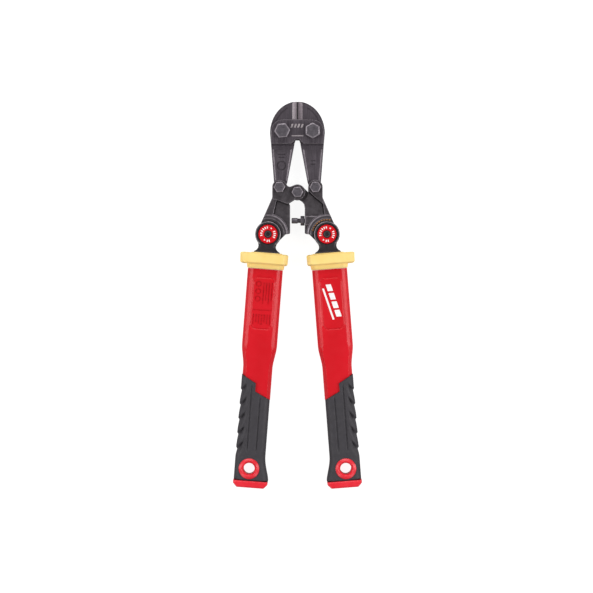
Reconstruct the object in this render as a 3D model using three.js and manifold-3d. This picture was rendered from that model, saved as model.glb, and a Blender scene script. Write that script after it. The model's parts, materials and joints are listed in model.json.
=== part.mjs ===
// Bolt cutters, 14 inch class, with centre-cut forged jaws and handles that fold outward at a push-button
// lock.
// The tool lies flat: jaws towards +Y, thickness along Z, all hinges parallel to Z. Millimetres.
// Outlines are drawn for one side in (u, y), where u is the distance outward from the centre line,
// and side = -1 (left) or +1 (right) turns u into x. y = 0 is the centre bolt of the linkage.
import * as THREE from "three";
import { mergeVertices } from "three/addons/utils/BufferGeometryUtils.js";
import Module from "manifold-3d";

const wasm = await Module();
wasm.setup();

// ---- Driving dimensions --------------------------------------------------------------------------
const LEFT = -1;
const RIGHT = 1;
const GAP = 0.3; // between pieces that touch
const BORE_PLAY = 0.3; // radial play of a bolt in its hole
const SHORTEST_EDGE = 0.02; // shorter ones are dropped from the finished solids
const BEYOND = 13; // past both faces of every piece near a hinge, for cuts that go right through

const JAW_PIVOT = { u: 14.4, y: 58 }; // main bolts, which hold the jaws between the straps
const LINK = { u: 17, y: 4.75 }; // jaw tail to handle bracket
const HANDLE_PIVOT = { u: 27.9, y: -39.9 }; // folding joint of the handle
const HANDLE_LEAN = THREE.MathUtils.degToRad(4.4); // each handle leans outward with the jaws closed

// The two blades together are half an ellipse.
const HEAD = { halfWidth: 26, arcHeight: 30, arcCentreY: 56 };
const HEAD_HALF = 6; // half thickness of the blades
const ARM_HALF = 4.5; // half thickness of the jaw arms
const STRAP_INNER = HEAD_HALF + GAP; // the straps lie on both faces of the jaws
const STRAP_OUTER = 9.5;
const STRAP_FOOT_Y = 45.8; // straight lower edge of the straps

const POCKET_HALF = 5.5; // the brackets' web
const RIB_HALF = 7.7; // the rib along the brackets' outer edges
const CHEEK_HALF = 8.6; // the brackets' ears and cheeks
const CHEEK_INNER = ARM_HALF + GAP;
const TONGUE_HALF = 3; // the right bracket's tongue, between the left bracket's ears
const KNUCKLE_R = 6.9;
const TAIL_R = 6.4;
const TAIL_ROOM_R = 7.2; // room for the jaw's tail to turn between the cheeks
const EAR_R = 7.3;
const BOSS_R = 11.6; // the bracket at the folding joint, inside the hub's fork
// The bracket's turned steps around that boss, from the hub's recess outward.
const STEPS = { recessR: 12.9, recessHalf: 5.2, ringR: 14.8, ringHalf: 6.4, outerR: 19.5, outerHalf: 7.2 };
const HUB_R = 12.2;
const HUB_INNER = 5.5;
const HUB_HALF = 10.5;

const TRAVEL = 3; // the lock button's stroke
const BUTTON_R = 9;
const BUTTON_BORE_R = 9.7;

const GUARD = { top: 18.2, flange: 10.4, skirt: 4.3, inner: 20.8, outer: 24.6, half: 17 };
const SHELL = { top: 33.2, half: 10.5, halfWidth: 16.6, waistHalf: 13.9, taperFrom: 106, taperTo: 127 };
const NECK = { halfWidth: 11, half: 8.8, end: 211 }; // the shell's hidden length inside the grip
const CORE = { halfWidth: 8, half: 5.8, top: 36, end: 208 };
const TANG = { halfWidth: 5.5, half: 3.2, end: 58 };
const HANDLE_PIN = { along: 48, radius: 2.5, half: 5.6 }; // through the core and the tang
const GRIP = { half: 12.3, end: 233.7, flareFrom: 210, outer: 14.7, inner: 13.6, flare: 17.8 };
const CAP = { top: 234, end: 241, half: 13.6 };
const EYELET = { u: 0.85, along: 222.5, holeR: 5.7, rimR: 9.9 };
// The stepped edge where the red shell ends and the grip begins, from the outer side to the inner.
const GRIP_EDGE = [[20, 130.5], [0.6, 141.4], [0.6, 149.1], [-20, 159.4]];

const MID_HEIGHT = GUARD.half; // the guards' backs touch the table

// ---- Solids --------------------------------------------------------------------------------------
// A closed three.js geometry as a manifold solid, for cutting and joining.
function solid(geometry) {
  const bare = geometry.clone();
  bare.deleteAttribute("normal");
  bare.deleteAttribute("uv");
  const merged = mergeVertices(bare, 1e-4);
  return new wasm.Manifold(
    new wasm.Mesh({
      numProp: 3,
      vertProperties: new Float32Array(merged.attributes.position.array),
      triVerts: new Uint32Array(merged.index.array),
    }),
  );
}

// A manifold solid as a three.js geometry with flat faces, without edges too short to matter.
function geometryOf(made) {
  const mesh = made.asOriginal().simplify(SHORTEST_EDGE).getMesh();
  const indexed = new THREE.BufferGeometry();
  indexed.setAttribute("position", new THREE.BufferAttribute(new Float32Array(mesh.vertProperties), 3));
  indexed.setIndex(new THREE.BufferAttribute(new Uint32Array(mesh.triVerts), 1));
  const flat = indexed.toNonIndexed();
  flat.computeVertexNormals();
  return flat;
}

const join = (...solids) => solids.reduce((all, one) => all.add(one));
const cut = (from, ...tools) => tools.reduce((left, tool) => left.subtract(tool), from);

// A shape extruded from z0 to z1, with its edges rounded by radius if one is given.
function plate(shape, z0, z1, radius = 0, curveSegments = 12) {
  const geometry = new THREE.ExtrudeGeometry(shape, {
    depth: z1 - z0 - 2 * radius,
    bevelEnabled: radius > 0,
    bevelSize: radius,
    bevelThickness: radius,
    bevelOffset: -radius,
    bevelSegments: 3,
    curveSegments,
  });
  return solid(geometry.translate(0, 0, z0 + radius));
}

const slab = (shape, half) => plate(shape, -half, half);

// A closed outline through (u, y) points, on one side.
function outline(side, points) {
  return new THREE.Shape(points.map(([u, y]) => new THREE.Vector2(side * u, y)));
}

// A cylinder along Z.
function rod(x, y, radius, z0, z1, segments = 28) {
  const geometry = new THREE.CylinderGeometry(radius, radius, z1 - z0, segments);
  return solid(geometry.rotateX(Math.PI / 2).translate(x, y, (z0 + z1) / 2));
}

// A hexagonal prism along Z, given across its flats.
function hexagon(x, y, acrossFlats, z0, z1, turn = 0) {
  const cornerR = acrossFlats / Math.sqrt(3);
  const geometry = new THREE.CylinderGeometry(cornerR, cornerR, z1 - z0, 6);
  return solid(geometry.rotateX(Math.PI / 2).rotateZ(turn).translate(x, y, (z0 + z1) / 2));
}

function block(x0, x1, y0, y1, z0, z1) {
  const geometry = new THREE.BoxGeometry(Math.abs(x1 - x0), y1 - y0, z1 - z0);
  return solid(geometry.translate((x0 + x1) / 2, (y0 + y1) / 2, (z0 + z1) / 2));
}

// The same tool above and below the middle plane, between two heights.
const bothFaces = (make, z0, z1) => make(z0, z1).add(make(-z1, -z0));

// ---- Materials -----------------------------------------------------------------------------------
function finish(color, roughness, metalness) {
  return new THREE.MeshStandardMaterial({ color, roughness, metalness });
}

const FORGED = finish("#4c474d", 0.5, 0.8);
const CAST = finish("#423e43", 0.5, 0.6);
const BOLT = finish("#5a555b", 0.45, 0.85);
const HUB = finish("#2c292f", 0.35, 0.5);
const SPRING = finish("#8b8b8e", 0.35, 0.9);
const RED = finish("#cf1826", 0.3, 0);
const YELLOW = finish("#f7d57b", 0.5, 0);
const GRIP_RUBBER = finish("#3f3c42", 0.75, 0);
const CORE_GLASS = finish("#c9b98a", 0.6, 0);

function piece(parent, name, made, material) {
  const mesh = new THREE.Mesh(geometryOf(made), material);
  mesh.name = name;
  parent.add(mesh);
  return mesh;
}

const sideName = (side) => (side === LEFT ? "left" : "right");

// ---- Head: jaws, straps and their bolts ----------------------------------------------------------
const BLADE_PLAY = 0.15; // half the gap between the closed blades
const BEVEL = { width: 4.8, footY: 68.8, land: 0.35 }; // ground cutting bevels
const JAW_BOLT = { acrossFlats: 13, radius: 4, head: 5.3, nut: 5 };

// One jaw in the (u, y) plane: blade, arm and tail, without the tail's round end.
function jawOutline(side) {
  const shape = new THREE.Shape();
  const steps = 18;
  const start = Math.asin(BLADE_PLAY / HEAD.halfWidth);
  for (let i = 0; i <= steps; i += 1) {
    const turn = start + ((Math.PI / 2 - start) * i) / steps;
    const u = HEAD.halfWidth * Math.sin(turn);
    const y = HEAD.arcCentreY + HEAD.arcHeight * Math.cos(turn);
    if (i === 0) shape.moveTo(side * u, y);
    else shape.lineTo(side * u, y);
  }
  const rest = [
    [25.4, 48], [22, 5], [10.9, 6], [9.7, 9.5], [2.9, 45], [2.7, 47.2], [1.9, 49.4], [BLADE_PLAY, 60],
  ];
  rest.forEach(([u, y]) => shape.lineTo(side * u, y));
  return shape;
}

// The wedge that grinds one face of a blade down to its cutting edge.
function bevelWedge(side, face) {
  const top = HEAD.arcCentreY + HEAD.arcHeight + 1;
  const outer = HEAD_HALF + 0.01;
  const wedge = new THREE.Shape([
    new THREE.Vector2(side * BEVEL.width, face * outer),
    new THREE.Vector2(-side, face * outer),
    new THREE.Vector2(-side, face * BEVEL.land),
    new THREE.Vector2(side * BLADE_PLAY, face * BEVEL.land),
  ]);
  const geometry = new THREE.ExtrudeGeometry(wedge, { depth: top - BEVEL.footY, bevelEnabled: false });
  return solid(geometry.rotateX(Math.PI / 2).translate(0, top, 0));
}

function jaw(side) {
  const flat = jawOutline(side);
  const head = slab(flat, HEAD_HALF).intersect(block(-30, 30, STRAP_FOOT_Y + 1, 90, -BEYOND, BEYOND));
  const tail = rod(side * LINK.u, LINK.y, TAIL_R, -ARM_HALF, ARM_HALF);
  return cut(
    join(slab(flat, ARM_HALF), head, tail),
    bevelWedge(side, 1),
    bevelWedge(side, -1),
    rod(side * JAW_PIVOT.u, JAW_PIVOT.y, JAW_BOLT.radius + BORE_PLAY, -BEYOND, BEYOND),
    rod(side * LINK.u, LINK.y, LINK_BOLT.radius + BORE_PLAY, -BEYOND, BEYOND),
  );
}

// A side plate: round over both main bolts, straight at its foot, notched where the arms part.
function strap(z0, z1) {
  const reach = 10.6;
  const corner = JAW_PIVOT.u + reach - 0.2;
  const shape = new THREE.Shape();
  shape.moveTo(-corner, STRAP_FOOT_Y);
  shape.absarc(-JAW_PIVOT.u, JAW_PIVOT.y, reach, Math.PI, Math.PI / 2, true);
  shape.absarc(JAW_PIVOT.u, JAW_PIVOT.y, reach, Math.PI / 2, 0, true);
  shape.lineTo(corner, STRAP_FOOT_Y);
  shape.lineTo(5.8, STRAP_FOOT_Y);
  shape.lineTo(3.3, 48.2);
  shape.quadraticCurveTo(2.8, 49.9, 0, 49.9);
  shape.quadraticCurveTo(-2.8, 49.9, -3.3, 48.2);
  shape.lineTo(-5.8, STRAP_FOOT_Y);
  const bores = [LEFT, RIGHT].map((side) =>
    rod(side * JAW_PIVOT.u, JAW_PIVOT.y, JAW_BOLT.radius + BORE_PLAY, z0 - 1, z1 + 1),
  );
  return cut(plate(shape, z0, z1, 0, 8), ...bores);
}

// ---- Bolts and nuts ------------------------------------------------------------------------------
const LINK_BOLT = { acrossFlats: 10, radius: 3, head: 4, nut: 4 };

// A hex bolt along Z at its own origin, its head resting on the face at height z.
function hexBolt(spec, z, turn) {
  const headFoot = z + GAP / 2;
  const end = -z - GAP / 2 - spec.nut - 1;
  return join(
    hexagon(0, 0, spec.acrossFlats, headFoot, headFoot + spec.head, turn),
    rod(0, 0, spec.radius, end, headFoot + 0.5, 20),
  );
}

function hexNut(spec, z, turn) {
  const top = -z - GAP / 2;
  return cut(
    hexagon(0, 0, spec.acrossFlats, top - spec.nut, top, turn),
    rod(0, 0, spec.radius + BORE_PLAY / 2, top - spec.nut - 1, top + 1, 20),
  );
}

// A bolt with its nut, placed over one pivot.
function boltPair(parent, name, spec, x, y, z, turn) {
  piece(parent, `${name}_bolt`, hexBolt(spec, z, turn), BOLT).position.set(x, y, 0);
  piece(parent, `${name}_nut`, hexNut(spec, z, turn + 0.3), BOLT).position.set(x, y, 0);
}

// ---- Handle brackets -----------------------------------------------------------------------------
const PIVOT_BOLT = { radius: 3, headRadius: 3.5, headFoot: 6.8, headTop: 10.7 };
const PIVOT_NUT = { acrossFlats: 10, top: -7.8, foot: -11.4 };
const NUT_WELL = { radius: 6.6, top: PIVOT_NUT.top + GAP }; // in the hub's back cheek
const LOCK = { radius: 9.2, lugRadius: 10.4, lugWidth: 4, lugs: 6, foot: 1.2, lugTop: 4.8, top: 6.6 };
const LOCK_FLOOR = LOCK.foot - TRAVEL - 0.4; // floor of the lock's pocket in the bracket
const STOP = { y: -26.9, radius: 2.3, depth: 18.5, tipRadius: 2.65 };
const BRACKET_INNER = 6.95; // the brackets' straight inner edges

// With the jaws part open the real joint at the centre bolt closes exactly, but joints of constant ratio
// leave the tongue up to 2.4 mm off. Its hole and the pockets around it are that much wider.
const CENTRE_DRIFT = { u: 1.15, y: -0.5, radius: 1.6 };

const BODY = [
  [23.9, 4.75], [23.9, -5.1], [37.4, -35.7], [27.9, -39.9], [19.7, -48.1],
  [11.2, -39.7], [BRACKET_INNER, -39.2], [BRACKET_INNER, -12], [10.3, -7.5], [10.1, 4.75],
];
const RIB = [[23.9, -3], [23.9, -5.1], [37.4, -35.7], [31, -33], [24.3, -20.1], [19.5, -4]];
const EAR = [
  [23.9, 4.75], [23.9, -5.1], [20.5, -7], [9.4, -10.9], [6.2, -9.2],
  [2.5, -6.8], [0, 0], [3, 6.6], [8.3, 4.6], [11, 8],
];
const CHEEK = [[23.9, 4.75], [23.9, -5.1], [24.5, -12], [21.7, -10], [10.3, 1.6], [10.1, 4.75]];
const TONGUE = [
  [0, 0], [1.5, -7.1], [4.6, -8.9], [6.4, -11.2], [BRACKET_INNER, -15], [20, -12], [20, -9.2], [5.1, 5.1],
];

// Slots for the lock's lugs, or the lugs themselves, around a handle pivot.
function lugs(x, y, reach, width, z0, z1) {
  const made = [];
  for (let i = 0; i < LOCK.lugs / 2; i += 1) {
    const bar = new THREE.BoxGeometry(2 * reach, width, z1 - z0);
    made.push(solid(bar.rotateZ((2 * Math.PI * i) / LOCK.lugs).translate(x, y, (z0 + z1) / 2)));
  }
  return join(...made);
}

// The pocket that the lock gear slides in, open towards the button.
function lockPocket(x, y) {
  const reach = LOCK.lugRadius + GAP;
  const round = rod(x, y, reach, -BEYOND, BEYOND);
  const slots = lugs(x, y, reach, LOCK.lugWidth + 2 * GAP, LOCK_FLOOR, BEYOND).intersect(round);
  return rod(x, y, LOCK.radius + GAP, LOCK_FLOOR, BEYOND).add(slots);
}

// What both brackets share: web, rib, stepped boss and the boss's bores.
function bracketBody(side, extra) {
  const { u, y } = HANDLE_PIVOT;
  const x = side * u;
  const flat = join(slab(outline(side, BODY), CHEEK_HALF), rod(x, y, BOSS_R, -CHEEK_HALF, CHEEK_HALF, 36));
  const web = flat.intersect(block(-60, 60, -60, 20, -POCKET_HALF, POCKET_HALF));
  const step = flat.intersect(rod(x, y, STEPS.outerR, -STEPS.outerHalf, STEPS.outerHalf, 48));
  const whole = join(
    web,
    step,
    slab(outline(side, RIB), RIB_HALF),
    rod(side * LINK.u, LINK.y, KNUCKLE_R, -CHEEK_HALF, CHEEK_HALF),
    ...extra,
  );
  return cut(
    whole,
    bothFaces((z0, z1) => rod(x, y, STEPS.recessR, z0, z1, 36), STEPS.recessHalf, BEYOND),
    bothFaces((z0, z1) => rod(x, y, STEPS.ringR, z0, z1, 36), STEPS.ringHalf, BEYOND),
    lockPocket(x, y),
    rod(x, y, PIVOT_BOLT.radius + BORE_PLAY, -BEYOND, BEYOND, 20),
    rod(side * LINK.u, LINK.y, LINK_BOLT.radius + BORE_PLAY, -BEYOND, BEYOND, 20),
  );
}

// The left bracket forks around the jaw's tail and around the right bracket's tongue.
function leftBracket() {
  const ears = [slab(outline(LEFT, EAR), CHEEK_HALF), rod(0, 0, EAR_R, -CHEEK_HALF, CHEEK_HALF)];
  const slotR = EAR_R + CENTRE_DRIFT.radius + 0.1;
  return cut(
    bracketBody(LEFT, ears),
    block(-30, -5, LINK.y - TAIL_ROOM_R, 20, -CHEEK_INNER, CHEEK_INNER),
    rod(-CENTRE_DRIFT.u, CENTRE_DRIFT.y, slotR, -TONGUE_HALF - GAP, TONGUE_HALF + GAP),
    rod(0, 0, LINK_BOLT.radius + BORE_PLAY, -BEYOND, BEYOND, 20),
  );
}

// The right bracket carries the tongue and the threaded barrel of the stop screw.
function rightBracket() {
  const barrel = block(BRACKET_INNER, 19.5, STOP.y - 4.1, STOP.y + 4.1, -STEPS.outerHalf, STEPS.outerHalf);
  const cheek = slab(outline(RIGHT, CHEEK), CHEEK_HALF);
  const tongue = join(slab(outline(RIGHT, TONGUE), POCKET_HALF), rod(0, 0, EAR_R, -TONGUE_HALF, TONGUE_HALF));
  const screwBore = new THREE.CylinderGeometry(STOP.radius + 0.25, STOP.radius + 0.25, STOP.depth, 20)
    .rotateZ(Math.PI / 2)
    .translate(STOP.depth / 2, STOP.y, 0);
  const relief = (z0, z1) => rod(CENTRE_DRIFT.u, CENTRE_DRIFT.y, EAR_R + CENTRE_DRIFT.radius, z0, z1);
  return cut(
    bracketBody(RIGHT, [barrel, cheek, tongue]),
    bothFaces(relief, TONGUE_HALF, BEYOND),
    rod(LINK.u, LINK.y, TAIL_ROOM_R, -CHEEK_INNER, CHEEK_INNER),
    block(9.6, 30, LINK.y, 20, -CHEEK_INNER, CHEEK_INNER),
    block(LINK.u, 30, LINK.y - TAIL_ROOM_R, 20, -CHEEK_INNER, CHEEK_INNER),
    rod(CENTRE_DRIFT.u, CENTRE_DRIFT.y, LINK_BOLT.radius + CENTRE_DRIFT.radius, -BEYOND, BEYOND),
    solid(screwBore),
  );
}

// The stop screw lies along X. Its round tip meets the left bracket when the jaws close.
const STOP_TIP = { x0: -5.6, x1: 0.2 };
const JAM_NUT = { acrossFlats: 8, x0: 2.9, x1: 6.7 };

function alongX(geometry, x0, x1) {
  return solid(geometry.rotateZ(Math.PI / 2).translate((x0 + x1) / 2, STOP.y, 0));
}

function stopScrew() {
  const end = STOP.depth - 0.6;
  const tip = new THREE.CylinderGeometry(STOP.tipRadius, STOP.tipRadius, STOP_TIP.x1 - STOP_TIP.x0, 20);
  const thread = new THREE.CylinderGeometry(STOP.radius, STOP.radius, end - STOP_TIP.x1 + 0.5, 20);
  return join(alongX(tip, STOP_TIP.x0, STOP_TIP.x1), alongX(thread, STOP_TIP.x1 - 0.5, end));
}

function jamNut() {
  const cornerR = JAM_NUT.acrossFlats / Math.sqrt(3);
  const nut = new THREE.CylinderGeometry(cornerR, cornerR, JAM_NUT.x1 - JAM_NUT.x0, 6);
  const boreR = STOP.radius + 0.2;
  const bore = new THREE.CylinderGeometry(boreR, boreR, 8, 20);
  return cut(alongX(nut, JAM_NUT.x0, JAM_NUT.x1), alongX(bore, JAM_NUT.x0 - 2, JAM_NUT.x0 + 6));
}

// ---- Folding joint: pivot bolt, lock gear, spring and button, each about its own Z axis -------------
function pivotBolt() {
  const { headTop } = PIVOT_BOLT;
  const [socket, star] = [0, Math.PI / 6].map((turn) => hexagon(0, 0, 3.6, headTop - 1.6, headTop + 1, turn));
  return cut(
    join(
      rod(0, 0, PIVOT_BOLT.radius, PIVOT_NUT.foot - 0.5, PIVOT_BOLT.headFoot + 0.5, 20),
      rod(0, 0, PIVOT_BOLT.headRadius, PIVOT_BOLT.headFoot, headTop, 24),
    ),
    socket,
    star,
  );
}

function pivotNut() {
  return cut(
    hexagon(0, 0, PIVOT_NUT.acrossFlats, PIVOT_NUT.foot, PIVOT_NUT.top),
    rod(0, 0, PIVOT_BOLT.radius + BORE_PLAY / 2, PIVOT_NUT.foot - 1, PIVOT_NUT.top + 1, 20),
  );
}

// The sliding lock: lugs that key it to the bracket, and a ring-shaped hollow below for the spring.
const SPRING_SEAT = { inner: 4.3, outer: 7.6, top: 4.8 };

function lockGear() {
  const keyed = lugs(0, 0, LOCK.lugRadius, LOCK.lugWidth, LOCK.foot, LOCK.lugTop);
  const hollow = cut(
    rod(0, 0, SPRING_SEAT.outer, LOCK.foot - 1, SPRING_SEAT.top),
    rod(0, 0, SPRING_SEAT.inner, LOCK.foot - 2, SPRING_SEAT.top + 1),
  );
  return cut(
    join(rod(0, 0, LOCK.radius, LOCK.foot, LOCK.top), keyed),
    hollow,
    rod(0, 0, PIVOT_BOLT.radius + 0.25, -BEYOND, BEYOND, 20),
  );
}

class Helix extends THREE.Curve {
  constructor(radius, height, turns) {
    super();
    Object.assign(this, { radius, height, turns });
  }
  getPoint(t) {
    const turn = 2 * Math.PI * this.turns * t;
    return new THREE.Vector3(this.radius * Math.cos(turn), this.radius * Math.sin(turn), this.height * t);
  }
}

function lockSpring() {
  const wireR = 0.5;
  const turns = 3.5;
  const foot = LOCK_FLOOR + 0.2 + wireR;
  const height = SPRING_SEAT.top - 0.2 - wireR - foot;
  const wire = new THREE.Shape();
  wire.absarc(0, 0, wireR, 0, 2 * Math.PI);
  const path = new Helix(6, height, turns);
  const coil = new THREE.ExtrudeGeometry(wire, { extrudePath: path, steps: 44, curveSegments: 6 });
  return solid(coil.translate(0, 0, foot));
}

function pushButton() {
  return cut(
    rod(0, 0, BUTTON_R, LOCK.top + GAP, 11, 40),
    rod(0, 0, PIVOT_BOLT.headRadius + GAP, 0, BEYOND, 24),
  );
}

// ---- Handle, in its own frame: origin at the folding joint, running down -Y -------------------------
// The hub's fork, neck and foot, with the tang that runs into the handle's core.
function hub(side) {
  const flare = new THREE.Shape();
  flare.moveTo(side * 9.2, -8);
  flare.quadraticCurveTo(side * 7.6, -12.6, side * 12, -16.4);
  flare.lineTo(side * 12, -17.9);
  flare.lineTo(side * -12.5, -17.9);
  flare.lineTo(side * -12.5, -16.4);
  flare.quadraticCurveTo(side * -7.8, -12.6, side * -9.4, -8);
  const forked = join(rod(0, 0, HUB_R, -HUB_HALF, HUB_HALF, 40), plate(flare, -HUB_HALF, HUB_HALF, 0, 6));
  return join(
    cut(
      forked,
      rod(0, 0, BOSS_R + 0.5, -HUB_INNER, HUB_INNER, 40),
      block(-30, 30, -8.5, 30, -HUB_INNER, HUB_INNER),
      rod(0, 0, BUTTON_BORE_R, HUB_INNER - 1, BEYOND, 40),
      rod(0, 0, PIVOT_BOLT.radius + BORE_PLAY, -BEYOND, 0, 20),
      rod(0, 0, NUT_WELL.radius, -BEYOND, NUT_WELL.top, 24),
    ),
    cut(
      block(-TANG.halfWidth, TANG.halfWidth, -TANG.end, -17, -TANG.half, TANG.half),
      rod(0, -HANDLE_PIN.along, HANDLE_PIN.radius + BORE_PLAY, -BEYOND, BEYOND, 20),
    ),
  );
}

// A bar with rounded corners along the handle, between two distances from the joint.
function collar(side, inner, outer, half, from, to, cornerR) {
  const shape = new THREE.Shape();
  const [x0, x1] = side === LEFT ? [-outer, inner] : [-inner, outer];
  shape.moveTo(x0 + cornerR, -half);
  shape.absarc(x1 - cornerR, -half + cornerR, cornerR, -Math.PI / 2, 0, false);
  shape.absarc(x1 - cornerR, half - cornerR, cornerR, 0, Math.PI / 2, false);
  shape.absarc(x0 + cornerR, half - cornerR, cornerR, Math.PI / 2, Math.PI, false);
  shape.absarc(x0 + cornerR, -half + cornerR, cornerR, Math.PI, 1.5 * Math.PI, false);
  const drawn = { depth: to - from, bevelEnabled: false, curveSegments: 5 };
  const geometry = new THREE.ExtrudeGeometry(shape, drawn);
  return solid(geometry.rotateX(Math.PI / 2).translate(0, -from, 0));
}

function guard(side) {
  const flangeEnd = GUARD.top + GUARD.flange;
  const tangSlot = block(
    -TANG.halfWidth - GAP, TANG.halfWidth + GAP, -60, 0, -TANG.half - GAP, TANG.half + GAP,
  );
  return cut(
    join(
      collar(side, GUARD.inner, GUARD.outer, GUARD.half, GUARD.top, flangeEnd, 6),
      collar(side, 17.3, 17.3, 11.2, flangeEnd - 1, flangeEnd + GUARD.skirt, 5),
    ),
    tangSlot,
  );
}

// The region above the stepped grip edge, or with the points shifted down, the region to cut off the grip.
function aboveGripEdge(side, shift) {
  const edge = GRIP_EDGE.map(([u, along]) => [u, -along - shift]);
  return slab(outline(side, [[20, 0], ...edge, [-20, 0]]), 20);
}

function shell(side) {
  const body = outline(side, [
    [SHELL.halfWidth, -SHELL.top], [SHELL.halfWidth, -SHELL.taperFrom], [16.2, -SHELL.taperFrom - 5],
    [14.3, -SHELL.taperTo + 4], [SHELL.waistHalf, -SHELL.taperTo], [SHELL.waistHalf, -170],
    [-SHELL.waistHalf, -170], [-SHELL.waistHalf, -SHELL.taperTo], [-14.3, -SHELL.taperTo + 4],
    [-16.2, -SHELL.taperFrom - 5], [-SHELL.halfWidth, -SHELL.taperFrom], [-SHELL.halfWidth, -SHELL.top],
  ]);
  const ends = block(-20, 20, -170, -SHELL.top, -SHELL.half, SHELL.half);
  const seen = plate(body, -SHELL.half, SHELL.half, 5).intersect(ends).intersect(aboveGripEdge(side, 0));
  const neck = block(-NECK.halfWidth, NECK.halfWidth, -NECK.end, -125, -NECK.half, NECK.half);
  const coreW = CORE.halfWidth + GAP;
  const coreH = CORE.half + GAP;
  return cut(join(seen, neck), block(-coreW, coreW, -CORE.end - GAP, 0, -coreH, coreH));
}

function core() {
  return cut(
    block(-CORE.halfWidth, CORE.halfWidth, -CORE.end, -CORE.top, -CORE.half, CORE.half),
    block(-TANG.halfWidth - GAP, TANG.halfWidth + GAP, -TANG.end - GAP, 0, -TANG.half - GAP, TANG.half + GAP),
    rod(0, -HANDLE_PIN.along, HANDLE_PIN.radius + BORE_PLAY, -BEYOND, BEYOND, 20),
  );
}

const handlePin = () => rod(0, 0, HANDLE_PIN.radius, -HANDLE_PIN.half, HANDLE_PIN.half, 20);

function grip(side) {
  const body = outline(side, [
    [GRIP.outer - 0.3, -120], [GRIP.outer, -GRIP.end], [-GRIP.flare, -GRIP.end], [-16.2, -GRIP.end + 5.5],
    [-14.4, -GRIP.end + 13], [-GRIP.inner, -GRIP.flareFrom], [-GRIP.inner, -120],
  ]);
  const hollowW = NECK.halfWidth + GAP;
  const hollowH = NECK.half + GAP;
  return cut(
    plate(body, -GRIP.half, GRIP.half, 4),
    aboveGripEdge(side, GAP),
    block(-hollowW, hollowW, -NECK.end - GAP, 0, -hollowH, hollowH),
    rod(side * EYELET.u, -EYELET.along, EYELET.rimR + GAP, -20, 20, 32),
    pegs(side, PEG.radius + GAP, PEG.length + GAP),
  );
}

// Two pegs hold the end cap in the grip, on either side of the eyelet.
const PEG = { radius: 1.5, length: 5, places: [11.8, -10.6] };

function pegs(side, radius, length) {
  const made = PEG.places.map((u) => {
    const geometry = new THREE.CylinderGeometry(radius, radius, length + 2, 14);
    return solid(geometry.translate(side * u, -CAP.top + length - (length + 2) / 2, 0));
  });
  return join(...made);
}

function endCap(side) {
  const cutCorner = CAP.top + 2.8;
  const body = outline(side, [
    [15, -CAP.top], [15, -cutCorner], [11.4, -CAP.end], [-14.5, -CAP.end], [-18, -cutCorner], [-18, -CAP.top],
  ]);
  return join(plate(body, -CAP.half, CAP.half, 1.5), pegs(side, PEG.radius, PEG.length));
}

// A hanging eyelet: a bush that opens like a funnel to both faces.
function eyelet() {
  const half = GRIP.half + 0.2;
  const profile = [
    [EYELET.holeR, -2.5], [EYELET.rimR - 0.7, -half], [EYELET.rimR, -half], [EYELET.rimR, half],
    [EYELET.rimR - 0.7, half], [EYELET.holeR, 2.5], [EYELET.holeR, -2.5],
  ];
  const lathe = new THREE.LatheGeometry(profile.map(([r, z]) => new THREE.Vector2(r, z)), 32);
  return solid(lathe.rotateX(Math.PI / 2));
}

// ---- Assembly ------------------------------------------------------------------------------------
const tool = new THREE.Group();

const head = new THREE.Group();
piece(head, "strap_front", strap(STRAP_INNER, STRAP_OUTER), FORGED);
piece(head, "strap_back", strap(-STRAP_OUTER, -STRAP_INNER), FORGED);
const jawBoltTurn = { [LEFT]: 0.42, [RIGHT]: 0 };
for (const side of [LEFT, RIGHT]) {
  const name = `jaw_pivot_${sideName(side)}`;
  boltPair(head, name, JAW_BOLT, side * JAW_PIVOT.u, JAW_PIVOT.y, STRAP_OUTER, jawBoltTurn[side]);
  piece(head, `jaw_${sideName(side)}`, jaw(side), FORGED);
}
tool.add(head);

const linkage = new THREE.Group();
piece(linkage, "bracket_left", leftBracket(), CAST);
piece(linkage, "bracket_right", rightBracket(), CAST);
boltPair(linkage, "centre", LINK_BOLT, 0, 0, CHEEK_HALF, 0.2);
for (const side of [LEFT, RIGHT]) {
  boltPair(linkage, `link_${sideName(side)}`, LINK_BOLT, side * LINK.u, LINK.y, CHEEK_HALF, side * 0.25);
}
piece(linkage, "stop_screw", stopScrew(), BOLT);
piece(linkage, "stop_screw_jam_nut", jamNut(), BOLT);
tool.add(linkage);

for (const side of [LEFT, RIGHT]) {
  const name = sideName(side);
  const joint = new THREE.Group();
  joint.position.set(side * HANDLE_PIVOT.u, HANDLE_PIVOT.y, 0);
  piece(joint, `pivot_bolt_${name}`, pivotBolt(), HUB);
  piece(joint, `pivot_nut_${name}`, pivotNut(), BOLT);
  piece(joint, `lock_gear_${name}`, lockGear(), BOLT);
  piece(joint, `lock_spring_${name}`, lockSpring(), SPRING);
  piece(joint, `push_button_${name}`, pushButton(), RED);

  const handle = new THREE.Group();
  handle.rotation.z = side * HANDLE_LEAN;
  piece(handle, `hub_${name}`, hub(side), HUB);
  piece(handle, `hand_guard_${name}`, guard(side), YELLOW);
  piece(handle, `handle_shell_${name}`, shell(side), RED);
  piece(handle, `handle_core_${name}`, core(), CORE_GLASS);
  piece(handle, `handle_pin_${name}`, handlePin(), BOLT).position.y = -HANDLE_PIN.along;
  piece(handle, `grip_${name}`, grip(side), GRIP_RUBBER);
  piece(handle, `end_cap_${name}`, endCap(side), RED);
  piece(handle, `eyelet_${name}`, eyelet(), RED).position.set(side * EYELET.u, -EYELET.along, 0);
  joint.add(handle);
  tool.add(joint);
}

// The part's origin is under the middle of the whole tool, on the table.
const bounds = new THREE.Box3().setFromObject(tool, true);
tool.position.set(0, -(bounds.min.y + bounds.max.y) / 2, MID_HEIGHT);

export default tool;
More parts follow.
